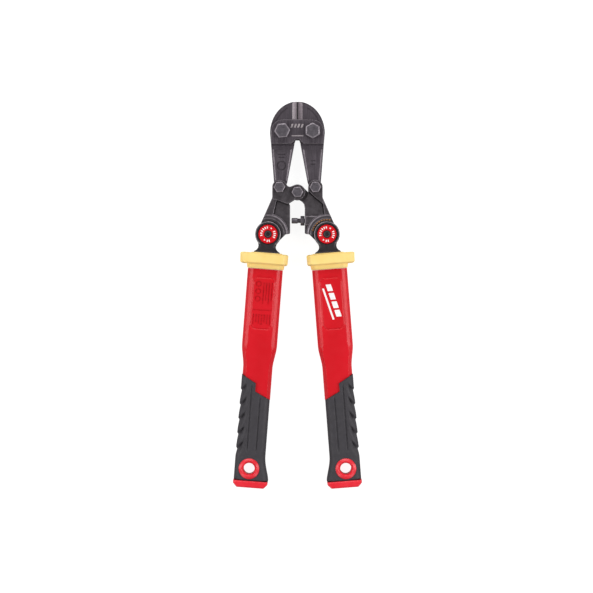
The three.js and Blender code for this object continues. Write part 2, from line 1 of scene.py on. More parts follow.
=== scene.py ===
"""Bolt cutters with forged jaws, a toggle linkage and red handles that fold outward at a push-button lock.

Shapes are drawn in millimetres. The head and linkage have the centre bolt as their origin. Each handle has
its folding joint as its origin and runs down -Y. Outlines are (u, y) with u outward from the tool's centre
line, and a third number in a point rounds that corner to this radius.
"""
import json
import math

import bmesh
import bpy
from mathutils import Matrix, Vector


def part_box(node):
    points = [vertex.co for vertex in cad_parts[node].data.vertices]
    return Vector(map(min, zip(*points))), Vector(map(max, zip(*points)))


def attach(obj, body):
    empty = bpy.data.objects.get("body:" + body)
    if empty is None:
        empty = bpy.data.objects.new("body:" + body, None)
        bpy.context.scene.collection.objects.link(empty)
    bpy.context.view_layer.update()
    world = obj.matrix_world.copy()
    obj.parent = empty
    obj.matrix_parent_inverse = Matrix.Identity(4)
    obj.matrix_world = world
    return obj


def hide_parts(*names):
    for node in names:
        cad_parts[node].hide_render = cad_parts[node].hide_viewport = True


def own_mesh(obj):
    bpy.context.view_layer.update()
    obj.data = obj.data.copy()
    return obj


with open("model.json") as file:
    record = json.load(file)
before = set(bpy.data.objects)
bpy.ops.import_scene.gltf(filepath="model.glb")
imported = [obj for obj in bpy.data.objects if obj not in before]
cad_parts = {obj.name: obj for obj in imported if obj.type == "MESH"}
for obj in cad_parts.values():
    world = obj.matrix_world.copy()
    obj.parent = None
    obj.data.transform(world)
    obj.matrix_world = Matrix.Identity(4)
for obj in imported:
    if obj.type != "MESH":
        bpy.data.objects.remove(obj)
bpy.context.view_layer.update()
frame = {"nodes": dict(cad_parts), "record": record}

# ---- Places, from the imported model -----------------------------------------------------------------
MM = 0.001
LEFT, RIGHT = -1, 1
SIDES = {LEFT: "left", RIGHT: "right"}
joints = {joint["name"]: joint for joint in frame["record"]["behaviour"]["joints"]}


def joint_at(name):
    return Vector(joints[name]["pos_m"])


def middle(node_name):
    low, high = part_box(node_name)
    return (low + high) / 2


def from_centre(place):
    """A place in the tool's own millimetres, from the centre bolt."""
    return (place - centre) / MM


mid_height = joint_at("handles_open").z
centre = Vector((0, middle("centre_bolt").y, mid_height))
jaw_pivot = from_centre(joint_at("right_jaw_swing"))
link = from_centre(joint_at("right_handle_open"))
fold = from_centre(joint_at("right_handle_fold"))
pin_offset = middle("handle_pin_right") - joint_at("right_handle_fold")
lean = math.atan2(pin_offset.x, -pin_offset.y)
tool_frame = Matrix.Translation(centre) @ Matrix.Scale(MM, 4)


def handle_frame(side, leaning=True):
    turn = Matrix.Rotation(side * lean if leaning else 0, 4, "Z")
    return Matrix.Translation(joint_at(f"{SIDES[side]}_handle_fold")) @ turn @ Matrix.Scale(MM, 4)


# ---- Materials -------------------------------------------------------------------------------------
def linear(hex_colour):
    """An sRGB hex colour as linear red, green, blue and alpha."""
    parts = [int(hex_colour[i:i + 2], 16) / 255 for i in (1, 3, 5)]
    return [p / 12.92 if p <= 0.04045 else ((p + 0.055) / 1.055) ** 2.4 for p in parts] + [1]


def fill(tree, node, inputs):
    """Sets a node's inputs to values, or links them to other nodes."""
    for name, value in inputs.items():
        if isinstance(value, bpy.types.Node):
            value = value.outputs[0]
        if isinstance(value, bpy.types.NodeSocket):
            tree.links.new(value, node.inputs[name])
        else:
            node.inputs[name].default_value = value


def add(tree, kind, inputs, stops=(), **settings):
    """A node with its settings and links. stops are the places and hex colours of a ramp."""
    made = tree.nodes.new(kind)
    for name, value in settings.items():
        setattr(made, name, value)
    for i, (place, colour) in enumerate(stops):
        made.color_ramp.elements[i].position = place
        made.color_ramp.elements[i].color = linear(colour)
    fill(tree, made, inputs)
    return made


def material(name, colour, roughness, metallic=0.0, **more):
    """A material with its shader's own values, and the place of a point on the tool."""
    made = bpy.data.materials.new(name)
    made.use_nodes = True
    tree = made.node_tree
    shader = tree.nodes["Principled BSDF"]
    values = {"Base Color": linear(colour), "Roughness": roughness, "Metallic": metallic}
    values.update({socket.replace("_", " "): value for socket, value in more.items()})
    fill(tree, shader, values)
    place = add(tree, "ShaderNodeTexCoord", {}).outputs["Object"]
    return made, tree, shader, place


NOISE, MAPPING, RAMP = "ShaderNodeTexNoise", "ShaderNodeMapping", "ShaderNodeValToRGB"
RANGE, BUMP = "ShaderNodeMapRange", "ShaderNodeBump"
MIDST = {"From Min": 0.3, "From Max": 0.7}  # the band in which nearly all of a noise lies
DARK_AT, LIGHT_AT = MIDST.values()
DETAIL, SOFT_DETAIL = 4.0, 1.0  # octaves of noise, in a finish with fine grain and in a moulded skin


def mottled(name, colour, roughness, metallic, patch, dark, light):
    """A thin or worn finish, also used for painted edge highlights: patches of two shades, about this many
    millimetres across.
    """
    made, tree, shader, place = material(name, colour, roughness, metallic)
    patches = add(tree, NOISE, {"Vector": place, "Scale": 1 / (patch * MM), "Detail": DETAIL})
    shades = add(tree, RAMP, {"Fac": patches}, ((DARK_AT, dark), (LIGHT_AT, light)))
    fill(tree, shader, {"Base Color": shades})
    return made


def forged_steel():
    """Drop-forged tool steel, blackened and belt-finished: satin, with faint streaks along the tool."""
    made, tree, shader, place = material("forged_steel_black_oxide", "#4e474e", 0.5, 0.55)
    lengthwise = add(tree, MAPPING, {"Vector": place, "Scale": (1, 1 / 22, 1)})
    streaks = add(tree, NOISE, {"Vector": lengthwise, "Scale": 1 / (0.7 * MM), "Detail": DETAIL})
    patches = add(tree, NOISE, {"Vector": place, "Scale": 1 / (5 * MM), "Detail": DETAIL})
    grit = add(tree, NOISE, {"Vector": place, "Scale": 1 / (0.5 * MM), "Detail": DETAIL})
    fill(tree, shader, {
        "Base Color": add(tree, RAMP, {"Fac": streaks}, ((DARK_AT, "#433c43"), (LIGHT_AT, "#5c555c"))),
        "Roughness": add(tree, RANGE, {"Value": patches, **MIDST, "To Min": 0.4, "To Max": 0.58}),
        "Normal": add(tree, BUMP, {"Height": grit, "Strength": 0.5, "Distance": 0.06 * MM}),
    })
    return made


def ground_steel(name, dark, light):
    """Bare ground steel with grinding lines across the edge: paler and brighter than the forging."""
    made, tree, shader, place = material(name, light, 0.4, 0.45)
    crosswise = add(tree, MAPPING, {"Vector": place, "Scale": (1 / 14, 1, 1 / 14)})
    lines = add(tree, NOISE, {"Vector": crosswise, "Scale": 1 / (0.5 * MM), "Detail": DETAIL})
    fill(tree, shader, {
        "Base Color": add(tree, RAMP, {"Fac": lines}, ((DARK_AT, dark), (LIGHT_AT, light))),
        "Roughness": add(tree, RANGE, {"Value": lines, **MIDST, "To Min": 0.3, "To Max": 0.42}),
    })
    return made


def cast_steel():
    """Investment-cast steel brackets, shot-blasted and blackened: a fine even grain and soft highlights."""
    made, tree, shader, place = material("cast_steel_blackened", "#443f43", 0.5, 0.45)
    mottle = add(tree, NOISE, {"Vector": place, "Scale": 1 / (3 * MM), "Detail": DETAIL})
    patches = add(tree, NOISE, {"Vector": place, "Scale": 1 / (6 * MM), "Detail": DETAIL})
    blasted = add(tree, NOISE, {"Vector": place, "Scale": 1 / (0.45 * MM), "Detail": DETAIL})
    fill(tree, shader, {
        "Base Color": add(tree, RAMP, {"Fac": mottle}, ((DARK_AT, "#3b363a"), (LIGHT_AT, "#4c474b"))),
        "Roughness": add(tree, RANGE, {"Value": patches, **MIDST, "To Min": 0.42, "To Max": 0.6}),
        "Normal": add(tree, BUMP, {"Height": blasted, "Strength": 0.5, "Distance": 0.09 * MM}),
    })
    return made


def bolt_steel():
    """Cold-headed bolts and nuts, black oxide with a trace of oil: smooth with a slight mottle."""
    made, tree, shader, place = material("bolt_steel_black_oxide", "#625d62", 0.42, 0.55)
    mottle = add(tree, NOISE, {"Vector": place, "Scale": 1 / (2.2 * MM), "Detail": DETAIL})
    oil = add(tree, NOISE, {"Vector": place, "Scale": 1 / (2.5 * MM), "Detail": DETAIL})
    fill(tree, shader, {
        "Base Color": add(tree, RAMP, {"Fac": mottle}, ((DARK_AT, "#58535a"), (LIGHT_AT, "#6a656b"))),
        "Roughness": add(tree, RANGE, {"Value": oil, **MIDST, "To Min": 0.34, "To Max": 0.5}),
    })
    return made


def enamelled_steel():
    """Hub casting under black stoving enamel: darker and glossier than the linkage, slightly rippled."""
    made, tree, shader, place = material("black_enamel_hub", "#1d191e", 0.4, Coat_Weight=0.15,
                                         Coat_Roughness=0.3)
    mottle = add(tree, NOISE, {"Vector": place, "Scale": 1 / (4 * MM), "Detail": DETAIL})
    ripple = add(tree, NOISE, {"Vector": place, "Scale": 1 / (1.4 * MM), "Detail": DETAIL})
    fill(tree, shader, {
        "Base Color": add(tree, RAMP, {"Fac": mottle}, ((DARK_AT, "#19161a"), (LIGHT_AT, "#242025"))),
        "Normal": add(tree, BUMP, {"Height": ripple, "Strength": 0.5, "Distance": 0.05 * MM}),
    })
    return made


def spring_steel():
    """Drawn spring wire, bright, with fine die marks in its gloss."""
    made, tree, shader, place = material("spring_wire", "#8d8d90", 0.3, 0.9)
    die_marks = add(tree, NOISE, {"Vector": place, "Scale": 1 / (0.8 * MM), "Detail": DETAIL})
    gloss = add(tree, RANGE, {"Value": die_marks, **MIDST, "To Min": 0.22, "To Max": 0.38})
    fill(tree, shader, {"Roughness": gloss})
    return made


def red_plastic():
    """Injection-moulded nylon handle shell, glossy pigment red, with a barely rippled skin."""
    made, tree, shader, place = material("red_nylon_moulded", "#d20e1d", 0.34, Specular_IOR_Level=0.34)
    lengthwise = add(tree, MAPPING, {"Vector": place, "Scale": (1, 1 / 3, 1)})
    flow = add(tree, NOISE, {"Vector": lengthwise, "Scale": 1 / (28 * MM), "Detail": DETAIL})
    patches = add(tree, NOISE, {"Vector": place, "Scale": 1 / (7 * MM), "Detail": DETAIL})
    ripple = add(tree, NOISE, {"Vector": place, "Scale": 1 / (6 * MM), "Detail": SOFT_DETAIL})
    fill(tree, shader, {
        "Base Color": add(tree, RAMP, {"Fac": flow}, ((DARK_AT, "#cb0a18"), (LIGHT_AT, "#d91222"))),
        "Roughness": add(tree, RANGE, {"Value": patches, **MIDST, "To Min": 0.3, "To Max": 0.38}),
        "Normal": add(tree, BUMP, {"Height": ripple, "Strength": 0.5, "Distance": 0.03 * MM}),
    })
    return made


def bright_red_plastic():
    """End caps and eyelets: a lighter red nylon with a satin skin from the mould."""
    made, tree, shader, place = material("red_nylon_satin", "#ea2737", 0.32)
    mottle = add(tree, NOISE, {"Vector": place, "Scale": 1 / (9 * MM), "Detail": DETAIL})
    ripple = add(tree, NOISE, {"Vector": place, "Scale": 1 / (2 * MM), "Detail": SOFT_DETAIL})
    fill(tree, shader, {
        "Base Color": add(tree, RAMP, {"Fac": mottle}, ((DARK_AT, "#e52231"), (LIGHT_AT, "#f03140"))),
        "Normal": add(tree, BUMP, {"Height": ripple, "Strength": 0.5, "Distance": 0.03 * MM}),
    })
    return made


def yellow_plastic():
    """Hand guards in pale yellow polypropylene, spark-eroded texture: matt, and light goes in a little."""
    made, tree, shader, place = material("yellow_polypropylene", "#fad982", 0.5, Subsurface_Weight=0.08,
                                         Subsurface_Radius=(0.002, 0.0012, 0.0004))
    mottle = add(tree, NOISE, {"Vector": place, "Scale": 1 / (12 * MM), "Detail": DETAIL})
    eroded = add(tree, NOISE, {"Vector": place, "Scale": 1 / (0.6 * MM), "Detail": 2.0})
    fill(tree, shader, {
        "Base Color": add(tree, RAMP, {"Fac": mottle}, ((DARK_AT, "#f8d47b"), (LIGHT_AT, "#fcde8b"))),
        "Normal": add(tree, BUMP, {"Height": eroded, "Strength": 0.5, "Distance": 0.05 * MM}),
    })
    return made


def grip_rubber():
    """Overmoulded soft rubber (TPE) with a fine pebble texture from the mould: matt charcoal."""
    made, tree, shader, place = material("tpe_rubber_charcoal", "#343136", 0.62)
    mottle = add(tree, NOISE, {"Vector": place, "Scale": 1 / (5 * MM), "Detail": DETAIL})
    patches = add(tree, NOISE, {"Vector": place, "Scale": 1 / (9 * MM), "Detail": DETAIL})
    # The real pebbles are about 0.3 mm across. They are drawn at 0.7 mm, so that they show.
    pebbles = add(tree, "ShaderNodeTexVoronoi", {"Vector": place, "Scale": 1 / (0.7 * MM)})
    fill(tree, shader, {
        "Base Color": add(tree, RAMP, {"Fac": mottle}, ((DARK_AT, "#312e33"), (LIGHT_AT, "#38353a"))),
        "Roughness": add(tree, RANGE, {"Value": patches, **MIDST, "To Min": 0.55, "To Max": 0.7}),
        "Normal": add(tree, BUMP, {"Height": pebbles, "Strength": 0.6, "Distance": 0.08 * MM}),
    })
    return made


def glass_fibre():
    """Pultruded glass-fibre core, with lengthwise strands."""
    made, tree, shader, place = material("glass_fibre_core", "#c9b98a", 0.5)
    lengthwise = add(tree, MAPPING, {"Vector": place, "Scale": (1, 1 / 30, 1)})
    strands = add(tree, NOISE, {"Vector": lengthwise, "Scale": 1 / (0.5 * MM), "Detail": DETAIL})
    shades = add(tree, RAMP, {"Fac": strands}, ((DARK_AT, "#b8a676"), (LIGHT_AT, "#d8caa0")))
    fill(tree, shader, {"Base Color": shades})
    return made


def pale_floor():
    """Frosted glass over a light table, lit from below so that shadows stay pale."""
    made, tree, shader, place = material("light_table_glass", "#909090", 0.9, Emission_Strength=0.9,
                                         Emission_Color=linear("#ffffff"))
    frosting = add(tree, NOISE, {"Vector": place, "Scale": 1 / (60 * MM), "Detail": DETAIL})
    shades = add(tree, RAMP, {"Fac": frosting}, ((DARK_AT, "#8d8d8d"), (LIGHT_AT, "#939393")))
    fill(tree, shader, {"Base Color": shades})
    return made


FORGED, CAST, BOLT, SPRING = forged_steel(), cast_steel(), bolt_steel(), spring_steel()
ENAMEL, RUBBER, FIBRE = enamelled_steel(), grip_rubber(), glass_fibre()
RED, BRIGHT_RED, YELLOW = red_plastic(), bright_red_plastic(), yellow_plastic()
# Handling has polished the black off the steel's edges: a thin, paler line, which is also a painted highlight
# along those edges.
WORN_EDGE_AND_HIGHLIGHT = mottled("worn_edge_and_painted_highlight", "#857d84", 0.42, 0.4, 2.5, "#726a71", "#989097")
# On the outer corners of the forgings and castings, the black is only rubbed thin; the paler colour is also a
# painted highlight on those corners.
RUBBED_EDGE_AND_HIGHLIGHT = mottled("rubbed_edge_and_painted_highlight", "#6f686e", 0.45, 0.45, 3, "#5e575d", "#827b81")
# The hub's machined edge shows through thin enamel, and its paler rim is also a painted highlight.
HUB_EDGE_AND_HIGHLIGHT = mottled("hub_edge_and_painted_highlight", "#878188", 0.35, 0.4, 2, "#6c666c", "#a09aa0")
# Laser marks, an oxide film on the black or the black taken off, have a slightly uneven cover.
BROWN_MARK = mottled("laser_annealed_brown", "#b98250", 0.45, 0.3, 1.5, "#7c5638", "#b98250")
PALE_MARK = mottled("laser_etched_pale", "#b8afb2", 0.45, 0.3, 1.5, "#978e92", "#b8afb2")
# Pad-printed white ink is satin, and slightly uneven in cover.
INK = mottled("white_pad_print", "#f6f2f1", 0.45, 0.0, 2, "#eeeae9", "#fdfbfa")
# Both bevels are one ground steel: the left one is painted lighter as a painted highlight, the right one
# darker as a painted shade.
GROUND_LIT_AND_SHADED = {LEFT: ground_steel("ground_steel_bevel_painted_light", "#9d9499", "#b7aeb3"),
          RIGHT: ground_steel("ground_steel_bevel_painted_shade", "#81787e", "#998f95")}
JAW_LOOKS = {side: (FORGED, WORN_EDGE_AND_HIGHLIGHT, GROUND_LIT_AND_SHADED[side]) for side in SIDES}
STRAP_LOOK = (FORGED, RUBBED_EDGE_AND_HIGHLIGHT, PALE_MARK)
CAST_LOOK = (CAST, RUBBED_EDGE_AND_HIGHLIGHT, WORN_EDGE_AND_HIGHLIGHT)
BOLT_LOOK = (BOLT, WORN_EDGE_AND_HIGHLIGHT)
HUB_LOOK = (ENAMEL, HUB_EDGE_AND_HIGHLIGHT)

# ---- Solids ----------------------------------------------------------------------------------------
# Places of a look's materials: the body's, its edges' (paler: partly wear, partly a painted highlight), and
# one more: a bevel, a mark or an edge with a brighter painted highlight.
MAIN, EDGE, BEVEL = 0, 1, 2
MARK = PAINTED_HIGHLIGHT = BEVEL
LEVEL = 0.2  # a face whose normal leans less than this counts as level
ARC_SHARE = 0.49  # the most of an outline's side that one rounded corner may take
WELD = 1e-4  # points closer than this, in millimetres, become one
THROUGH = 12  # from the middle to beyond every face of the linkage, for cutters
OVER = 13  # the same, for cutters that work from above


def solid(bm, look):
    """An object in millimetres from a bmesh, which can carry each material of the look."""
    mesh = bpy.data.meshes.new("solid")
    bmesh.ops.recalc_face_normals(bm, faces=bm.faces)
    bm.to_mesh(mesh)
    bm.free()
    for made in look:
        mesh.materials.append(made)
    obj = bpy.data.objects.new("solid", mesh)
    bpy.context.scene.collection.objects.link(obj)
    return obj


def smooth(low, high, value):
    """0 below low, 1 above high, and an even curve between."""
    t = min(max((value - low) / (high - low), 0), 1)
    return t * t * (3 - 2 * t)


def rounded(points, side=1, steps=5):
    """A closed outline. A point (u, y, radius) is a corner rounded by an arc."""
    flat = []
    for i, point in enumerate(points):
        here = Vector((side * point[0], point[1]))
        if len(point) < 3:
            flat.append(here)
            continue
        before = Vector((side * points[i - 1][0], points[i - 1][1])) - here
        following = points[(i + 1) % len(points)]
        after = Vector((side * following[0], following[1])) - here
        half_angle = before.angle(after) / 2
        reach = min(point[2] / math.tan(half_angle), ARC_SHARE * before.length, ARC_SHARE * after.length)
        radius = reach * math.tan(half_angle)
        hub = here + (before.normalized() + after.normalized()).normalized() * radius / math.sin(half_angle)
        start = here + before.normalized() * reach - hub
        end = here + after.normalized() * reach - hub
        sweep = start.angle_signed(end)
        for k in range(steps + 1):
            flat.append(hub + Matrix.Rotation(-sweep * k / steps, 2) @ start)
    return flat


def circle(x, y, radius, count=64):
    turns = [2 * math.pi * i / count for i in range(count)]
    return [(x + radius * math.cos(turn), y + radius * math.sin(turn)) for turn in turns]


def slab(flat, z0, z1, look, edge=0.0, steps=2, skin=MAIN):
    """A flat outline given thickness, with its rims rounded by edge. skin is the material of its faces."""
    bm = bmesh.new()
    face = bm.faces.new([bm.verts.new((x, y, z0)) for x, y in flat])
    raised = bmesh.ops.extrude_face_region(bm, geom=[face])["geom"]
    top = [part for part in raised if isinstance(part, bmesh.types.BMVert)]
    bmesh.ops.translate(bm, verts=top, vec=(0, 0, z1 - z0))
    bmesh.ops.recalc_face_normals(bm, faces=bm.faces)
    for face in bm.faces:
        face.material_index = skin
    if edge:
        rims = [e for e in bm.edges if abs(e.verts[0].co.z - e.verts[1].co.z) < edge / 100]
        # The bevelled rims take the look's edge material, paler: partly wear and partly a painted highlight.
        bmesh.ops.bevel(bm, geom=rims, offset=edge, segments=steps, profile=0.5, affect="EDGES",
                        material=EDGE if len(look) > 1 else MAIN, clamp_overlap=True)
    return solid(bm, look)


def box(x0, x1, y0, y1, z0, z1, look):
    return slab([(x0, y0), (x1, y0), (x1, y1), (x0, y1)], z0, z1, look)


def rod(x, y, radius, z0, z1, look, edge=0.0, count=64):
    return slab(circle(x, y, radius, count), z0, z1, look, edge)


def loft(rings, look):
    """A skin through rings of equally many points, closed by a face at each end."""
    bm = bmesh.new()
    rows = [[bm.verts.new(point) for point in ring] for ring in rings]
    count = len(rows[0])
    for row, above in zip(rows, rows[1:]):
        for i in range(count):
            bm.faces.new((row[i], row[(i + 1) % count], above[(i + 1) % count], above[i]))
    bm.faces.new(rows[0])
    bm.faces.new(list(reversed(rows[-1])))
    return solid(bm, look)


def lathe(profile, look, count=72, skins=()):
    """A closed (radius, z) profile turned about Z. skins gives some sides, by number, another material."""
    skins = dict(skins)
    bm = bmesh.new()
    rows = []
    for i in range(count):
        turn = 2 * math.pi * i / count
        rows.append([bm.verts.new((r * math.cos(turn), r * math.sin(turn), z)) for r, z in profile])
    for i, row in enumerate(rows):
        beside = rows[(i + 1) % count]
        for k in range(len(profile)):
            n = (k + 1) % len(profile)
            if profile[k][0] or profile[n][0]:
                bm.faces.new((row[k], beside[k], beside[n], row[n])).material_index = skins.get(k, MAIN)
    bmesh.ops.remove_doubles(bm, verts=bm.verts, dist=WELD)
    return solid(bm, look)


def grown(points, by):
    """The outline with its sides moved outward by so many millimetres."""
    loop = points[1:] + points[:1]
    area = sum(a[0] * b[1] - b[0] * a[1] for a, b in zip(points, loop))
    result = []
    for before, point, after in zip(points[-1:] + points[:-1], points, loop):
        here = Vector(point[:2])
        normals = []
        for way in (here - Vector(before[:2]), Vector(after[:2]) - here):
            normals.append(math.copysign(1, area) * Vector((way.y, -way.x)).normalized())
        spot = here + (normals[0] + normals[1]) * by / (1 + normals[0].dot(normals[1]))
        result.append((*spot, *point[2:]))
    return result


def tapered(points, z0, z1, by, look, side=1):
    """A plate whose outline grows by so much from z0 to z1. Its lengthwise slopes get the edge material,
    paler as a painted highlight where the look has one.
    """
    rings = [[(*spot, z) for spot in rounded(grown(points, more), side)]
             for z, more in ((z0, 0), (z1, by))]
    made = loft(rings, look)
    for polygon in made.data.polygons:
        if abs(polygon.normal.x) > max(abs(polygon.normal.y), LEVEL):
            polygon.material_index = min(EDGE, len(look) - 1)
    return made


def channel(points, width, foot, side, look):
    """Straight cuts along a line of points, from this height up: the shadow line beside a step."""
    cuts = []
    half = width / 2
    for (u0, y0), (u1, y1) in zip(points, points[1:]):
        run = Vector((side * (u1 - u0), y1 - y0))
        bar = box(-half, run.length + half, -half, half, foot, OVER, look)
        cuts.append(shifted(bar, side * u0, y0, turn=math.atan2(run.y, run.x)))
    return cuts


def mirrored_too(tools):
    """Tools made for the front, with their mirror images for the back."""
    mirror = Matrix.Scale(-1, 4, (0, 0, 1))
    back = []
    for tool in tools:
        copy = tool.copy()
        copy.data = tool.data.copy()
        bpy.context.scene.collection.objects.link(copy)
        back.append(moved(copy, mirror))
    return tools + back


def moved(obj, matrix):
    obj.data.transform(matrix)
    if matrix.determinant() < 0:
        obj.data.flip_normals()
    return obj


def shifted(obj, x=0, y=0, z=0, turn=0):
    return moved(obj, Matrix.Translation((x, y, z)) @ Matrix.Rotation(turn, 4, "Z"))


def combine(operation, base, tools):
    for tool in tools:
        change = base.modifiers.new("combine", "BOOLEAN")
        change.operation = operation
        change.object = tool
        change.solver = "MANIFOLD"
        change.material_mode = "INDEX"
        seen = base.evaluated_get(bpy.context.evaluated_depsgraph_get())
        mesh = bpy.data.meshes.new_from_object(seen)
        base.modifiers.clear()
        base.data = mesh
        bpy.data.objects.remove(tool)
    return base


def join(base, *tools):
    return combine("UNION", base, tools)


def carve(base, *tools):
    return combine("DIFFERENCE", base, tools)


def common(base, *tools):
    return combine("INTERSECT", base, tools)


def gather(objects):
    """Several loose solids as one object."""
    bm = bmesh.new()
    for obj in objects:
        bm.from_mesh(obj.data)
    look = list(objects[0].data.materials)
    for obj in objects:
        bpy.data.objects.remove(obj)
    return solid(bm, look)


def settle(obj, name, where, body, slot_name, *nodes, sharp=35):
    """Puts a finished piece in the frame, on its body, in place of its CAD nodes."""
    obj.name = obj.data.name = name
    obj.data.transform(where)
    for polygon in obj.data.polygons:
        polygon.use_smooth = True
    obj.data.set_sharp_from_angle(angle=math.radians(sharp))
    weighted = obj.modifiers.new("normals", "WEIGHTED_NORMAL")
    weighted.keep_sharp = True
    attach(obj, body)
    if nodes:
        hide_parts(*nodes)
    return obj


# ---- Head ------------------------------------------------------------------------------------------
HEAD_HALF, ARM_HALF = 6.0, 4.5
HEAD_WIDTH, HEAD_ARC, HEAD_CENTRE_Y = 26.0, 30.0, 56.0  # the two blades together are half an ellipse
STRAP_FOOT_Y = 45.8
BLADE_PLAY = 0.01  # from each edge to the tool's centre line, with the jaws shut
JAW_BORE, LINK_BORE = 4.3, 3.3
TAIL_R = 6.4
PANEL_DEPTH = 0.6  # of the arms' panels


def blade(side):
    """The thick upper half of a jaw."""
    quarter = [math.radians(90 * i / 24) for i in range(25)]
    start = math.asin(BLADE_PLAY / HEAD_WIDTH)
    arc = [(side * HEAD_WIDTH * math.sin(max(t, start)), HEAD_CENTRE_Y + HEAD_ARC * math.cos(t))
           for t in quarter]
    foot_y = STRAP_FOOT_Y + 1
    inner = [(25.3, 48), (25.2, foot_y), (2.75, foot_y), (1.9, 49.4), (BLADE_PLAY, 60)]
    return slab(arc + [(side * u, y) for u, y in inner], -HEAD_HALF, HEAD_HALF, (FORGED,), 1.5, 1)


def rim_groove(side):
    """A shallow groove that follows the blade's back, just inside its rim."""
    start, sweep, count = 24, 42, 16
    turns = [math.radians(start + sweep * i / count) for i in range(count + 1)]
    lines = [[(side * (HEAD_WIDTH - inset) * math.sin(t), HEAD_CENTRE_Y + (HEAD_ARC - inset) * math.cos(t))
              for t in turns] for inset in (3.3, 4.2)]
    return slab(lines[0] + lines[1][::-1], HEAD_HALF - 0.7, HEAD_HALF + 1, JAW_LOOKS[side])


def grind(side, face):
    """The wedge that a grinding wheel takes off one face of the blade."""
    top, foot = 87.5, 68.8
    outer = HEAD_HALF + 0.01
    flat = [(4.8, outer), (-1, outer), (-1, 0.2), (BLADE_PLAY, 0.2), (0.62, 2.4)]
    steep = (2, 3)  # the sides of the wedge beside the cutting edge, which stay as dark as the body
    rings = [[(side * u, y, face * z) for u, z in flat] for y in (foot, top)]
    wedge = loft(rings, JAW_LOOKS[side])
    for k, polygon in enumerate(wedge.data.polygons):
        polygon.material_index = MAIN if k in steep else BEVEL
    return wedge


def arm_marks(side):
    """Plain marks sunk in the arm's panel: a ring and two bars on the left, two short bars on the right."""
    low, high = ARM_HALF - PANEL_DEPTH - 0.9, ARM_HALF + 1
    ring_at, outer, inner = (side * 15.2, 25.2), 4.6, 3.3
    bars = {LEFT: ((11.6, 18.6, 35.2), (12.4, 17.8, 32.6)), RIGHT: ((12.6, 17.0, 29.4), (12.8, 16.8, 26.0))}
    marks = [slab(rounded([(u0, y, 0.3), (u1, y, 0.3), (u1, y + 1.2, 0.3), (u0, y + 1.2, 0.3)], side),
                  low, high, JAW_LOOKS[side]) for u0, u1, y in bars[side]]
    if side == LEFT:
        ring = rod(*ring_at, outer, low, high, JAW_LOOKS[side])
        marks.append(carve(ring, rod(*ring_at, inner, low - 1, high + 1, JAW_LOOKS[side])))
    return marks


def jaw(side):
    """A thick blade on a thinner arm, with sunk panels and the shadow line under the strap."""
    arm = rounded([(25.2, 50), (25.1, 46), (22, 6), (10.9, 6), (9.6, 9.8, 3), (2.9, 45.5), (2.7, 50)], side)
    panel = [(22.4, 40.0, 0.8), (20.1, 11.5), (11.0, 11.5), (6.5, 40.0, 0.8)]
    floor_z = ARM_HALF - PANEL_DEPTH
    beyond = 10
    made = join(
        slab(arm, -ARM_HALF, ARM_HALF, (FORGED,), 0.7),
        rod(side * link.x, link.y, TAIL_R, -ARM_HALF, ARM_HALF, JAW_LOOKS[side]),
        blade(side),
    )
    for material in JAW_LOOKS[side][1:]:
        made.data.materials.append(material)
    shade_y = STRAP_FOOT_Y - 0.8
    under_strap = channel([(3.6, shade_y), (26, shade_y)], 1.5, ARM_HALF - 1.6, side, JAW_LOOKS[side])
    sunk = tapered(panel, floor_z, ARM_HALF + 0.01, 1.2, JAW_LOOKS[side], side)
    made = carve(made, *mirrored_too([sunk, rim_groove(side), *under_strap]))
    made = carve(
        made, *mirrored_too(arm_marks(side)), grind(side, 1), grind(side, -1),
        rod(side * jaw_pivot.x, jaw_pivot.y, JAW_BORE, -beyond, beyond, JAW_LOOKS[side]),
        rod(side * link.x, link.y, LINK_BORE, -beyond, beyond, JAW_LOOKS[side]),
    )
    name = SIDES[side]
    settle(made, f"{name}_jaw", tool_frame, f"jaw_{name}", "forged_steel", f"jaw_{name}")


STRAP_Z = (6.3, 9.5)
STRAP_REACH = 10.6  # round ends about the jaw bolts


def strap(face):
    """Plate with two round shoulders, a notched foot and etched marks, for the front (1) or back (-1)."""
    corner = jaw_pivot.x + STRAP_REACH - 0.2
    top = jaw_pivot.y + STRAP_REACH
    half = [(5.8, STRAP_FOOT_Y), (corner, STRAP_FOOT_Y), (corner, top, STRAP_REACH)]
    notch = [(-3.3, 48.2, 1), (-2.3, 49.9, 1.6), (2.3, 49.9, 1.6), (3.3, 48.2, 1)]
    ring = half + [(-u, *rest) for u, *rest in reversed(half)] + notch
    made = slab(rounded(ring, steps=12), *STRAP_Z, STRAP_LOOK, 0.5)
    bores = [rod(s * jaw_pivot.x, jaw_pivot.y, JAW_BORE, 0, THROUGH, STRAP_LOOK) for s in SIDES]
    marks = [[(-5.6, 52.8), (5.6, 52.8), (5.6, 53.8), (-5.6, 53.8)]]
    marks += [[(x, 60.9), (x + 1.8, 60.9), (x + 3, 64.6), (x + 1.2, 64.6)] for x in (-6.7, -3.5, -0.3, 2.9)]
    etched = [slab(mark, STRAP_Z[1] - 0.15, STRAP_Z[1] + 1, STRAP_LOOK, skin=MARK) for mark in marks]
    made = carve(made, *bores, *etched)
    moved(made, Matrix.Scale(face, 4, (0, 0, 1)))
    name = "front" if face == 1 else "back"
    settle(made, f"{name}_strap", tool_frame, "head", "forged_steel", f"strap_{name}")


# ---- Bolts and nuts --------------------------------------------------------------------------------
M8 = {"flats": 13, "shank": 4, "head": 5.3, "nut": 5}
M6 = {"flats": 9.5, "shank": 3, "head": 4, "nut": 4}
PLAY = 0.15  # between a head or nut and the face under it
CHEEK_HALF = 8.6
# Shares of the width across flats: the rim's fall and breadth, and where the corners are turned off.
RIM_FALL, RIM, CORNER_FALL, CORNER_R = 0.042, 0.08, 0.09, 0.47


def hexagon(flats, turn=0.0):
    corner = flats / math.sqrt(3)
    angles = [turn + i * math.pi / 3 for i in range(6)]
    return [(corner * math.cos(angle), corner * math.sin(angle)) for angle in angles]


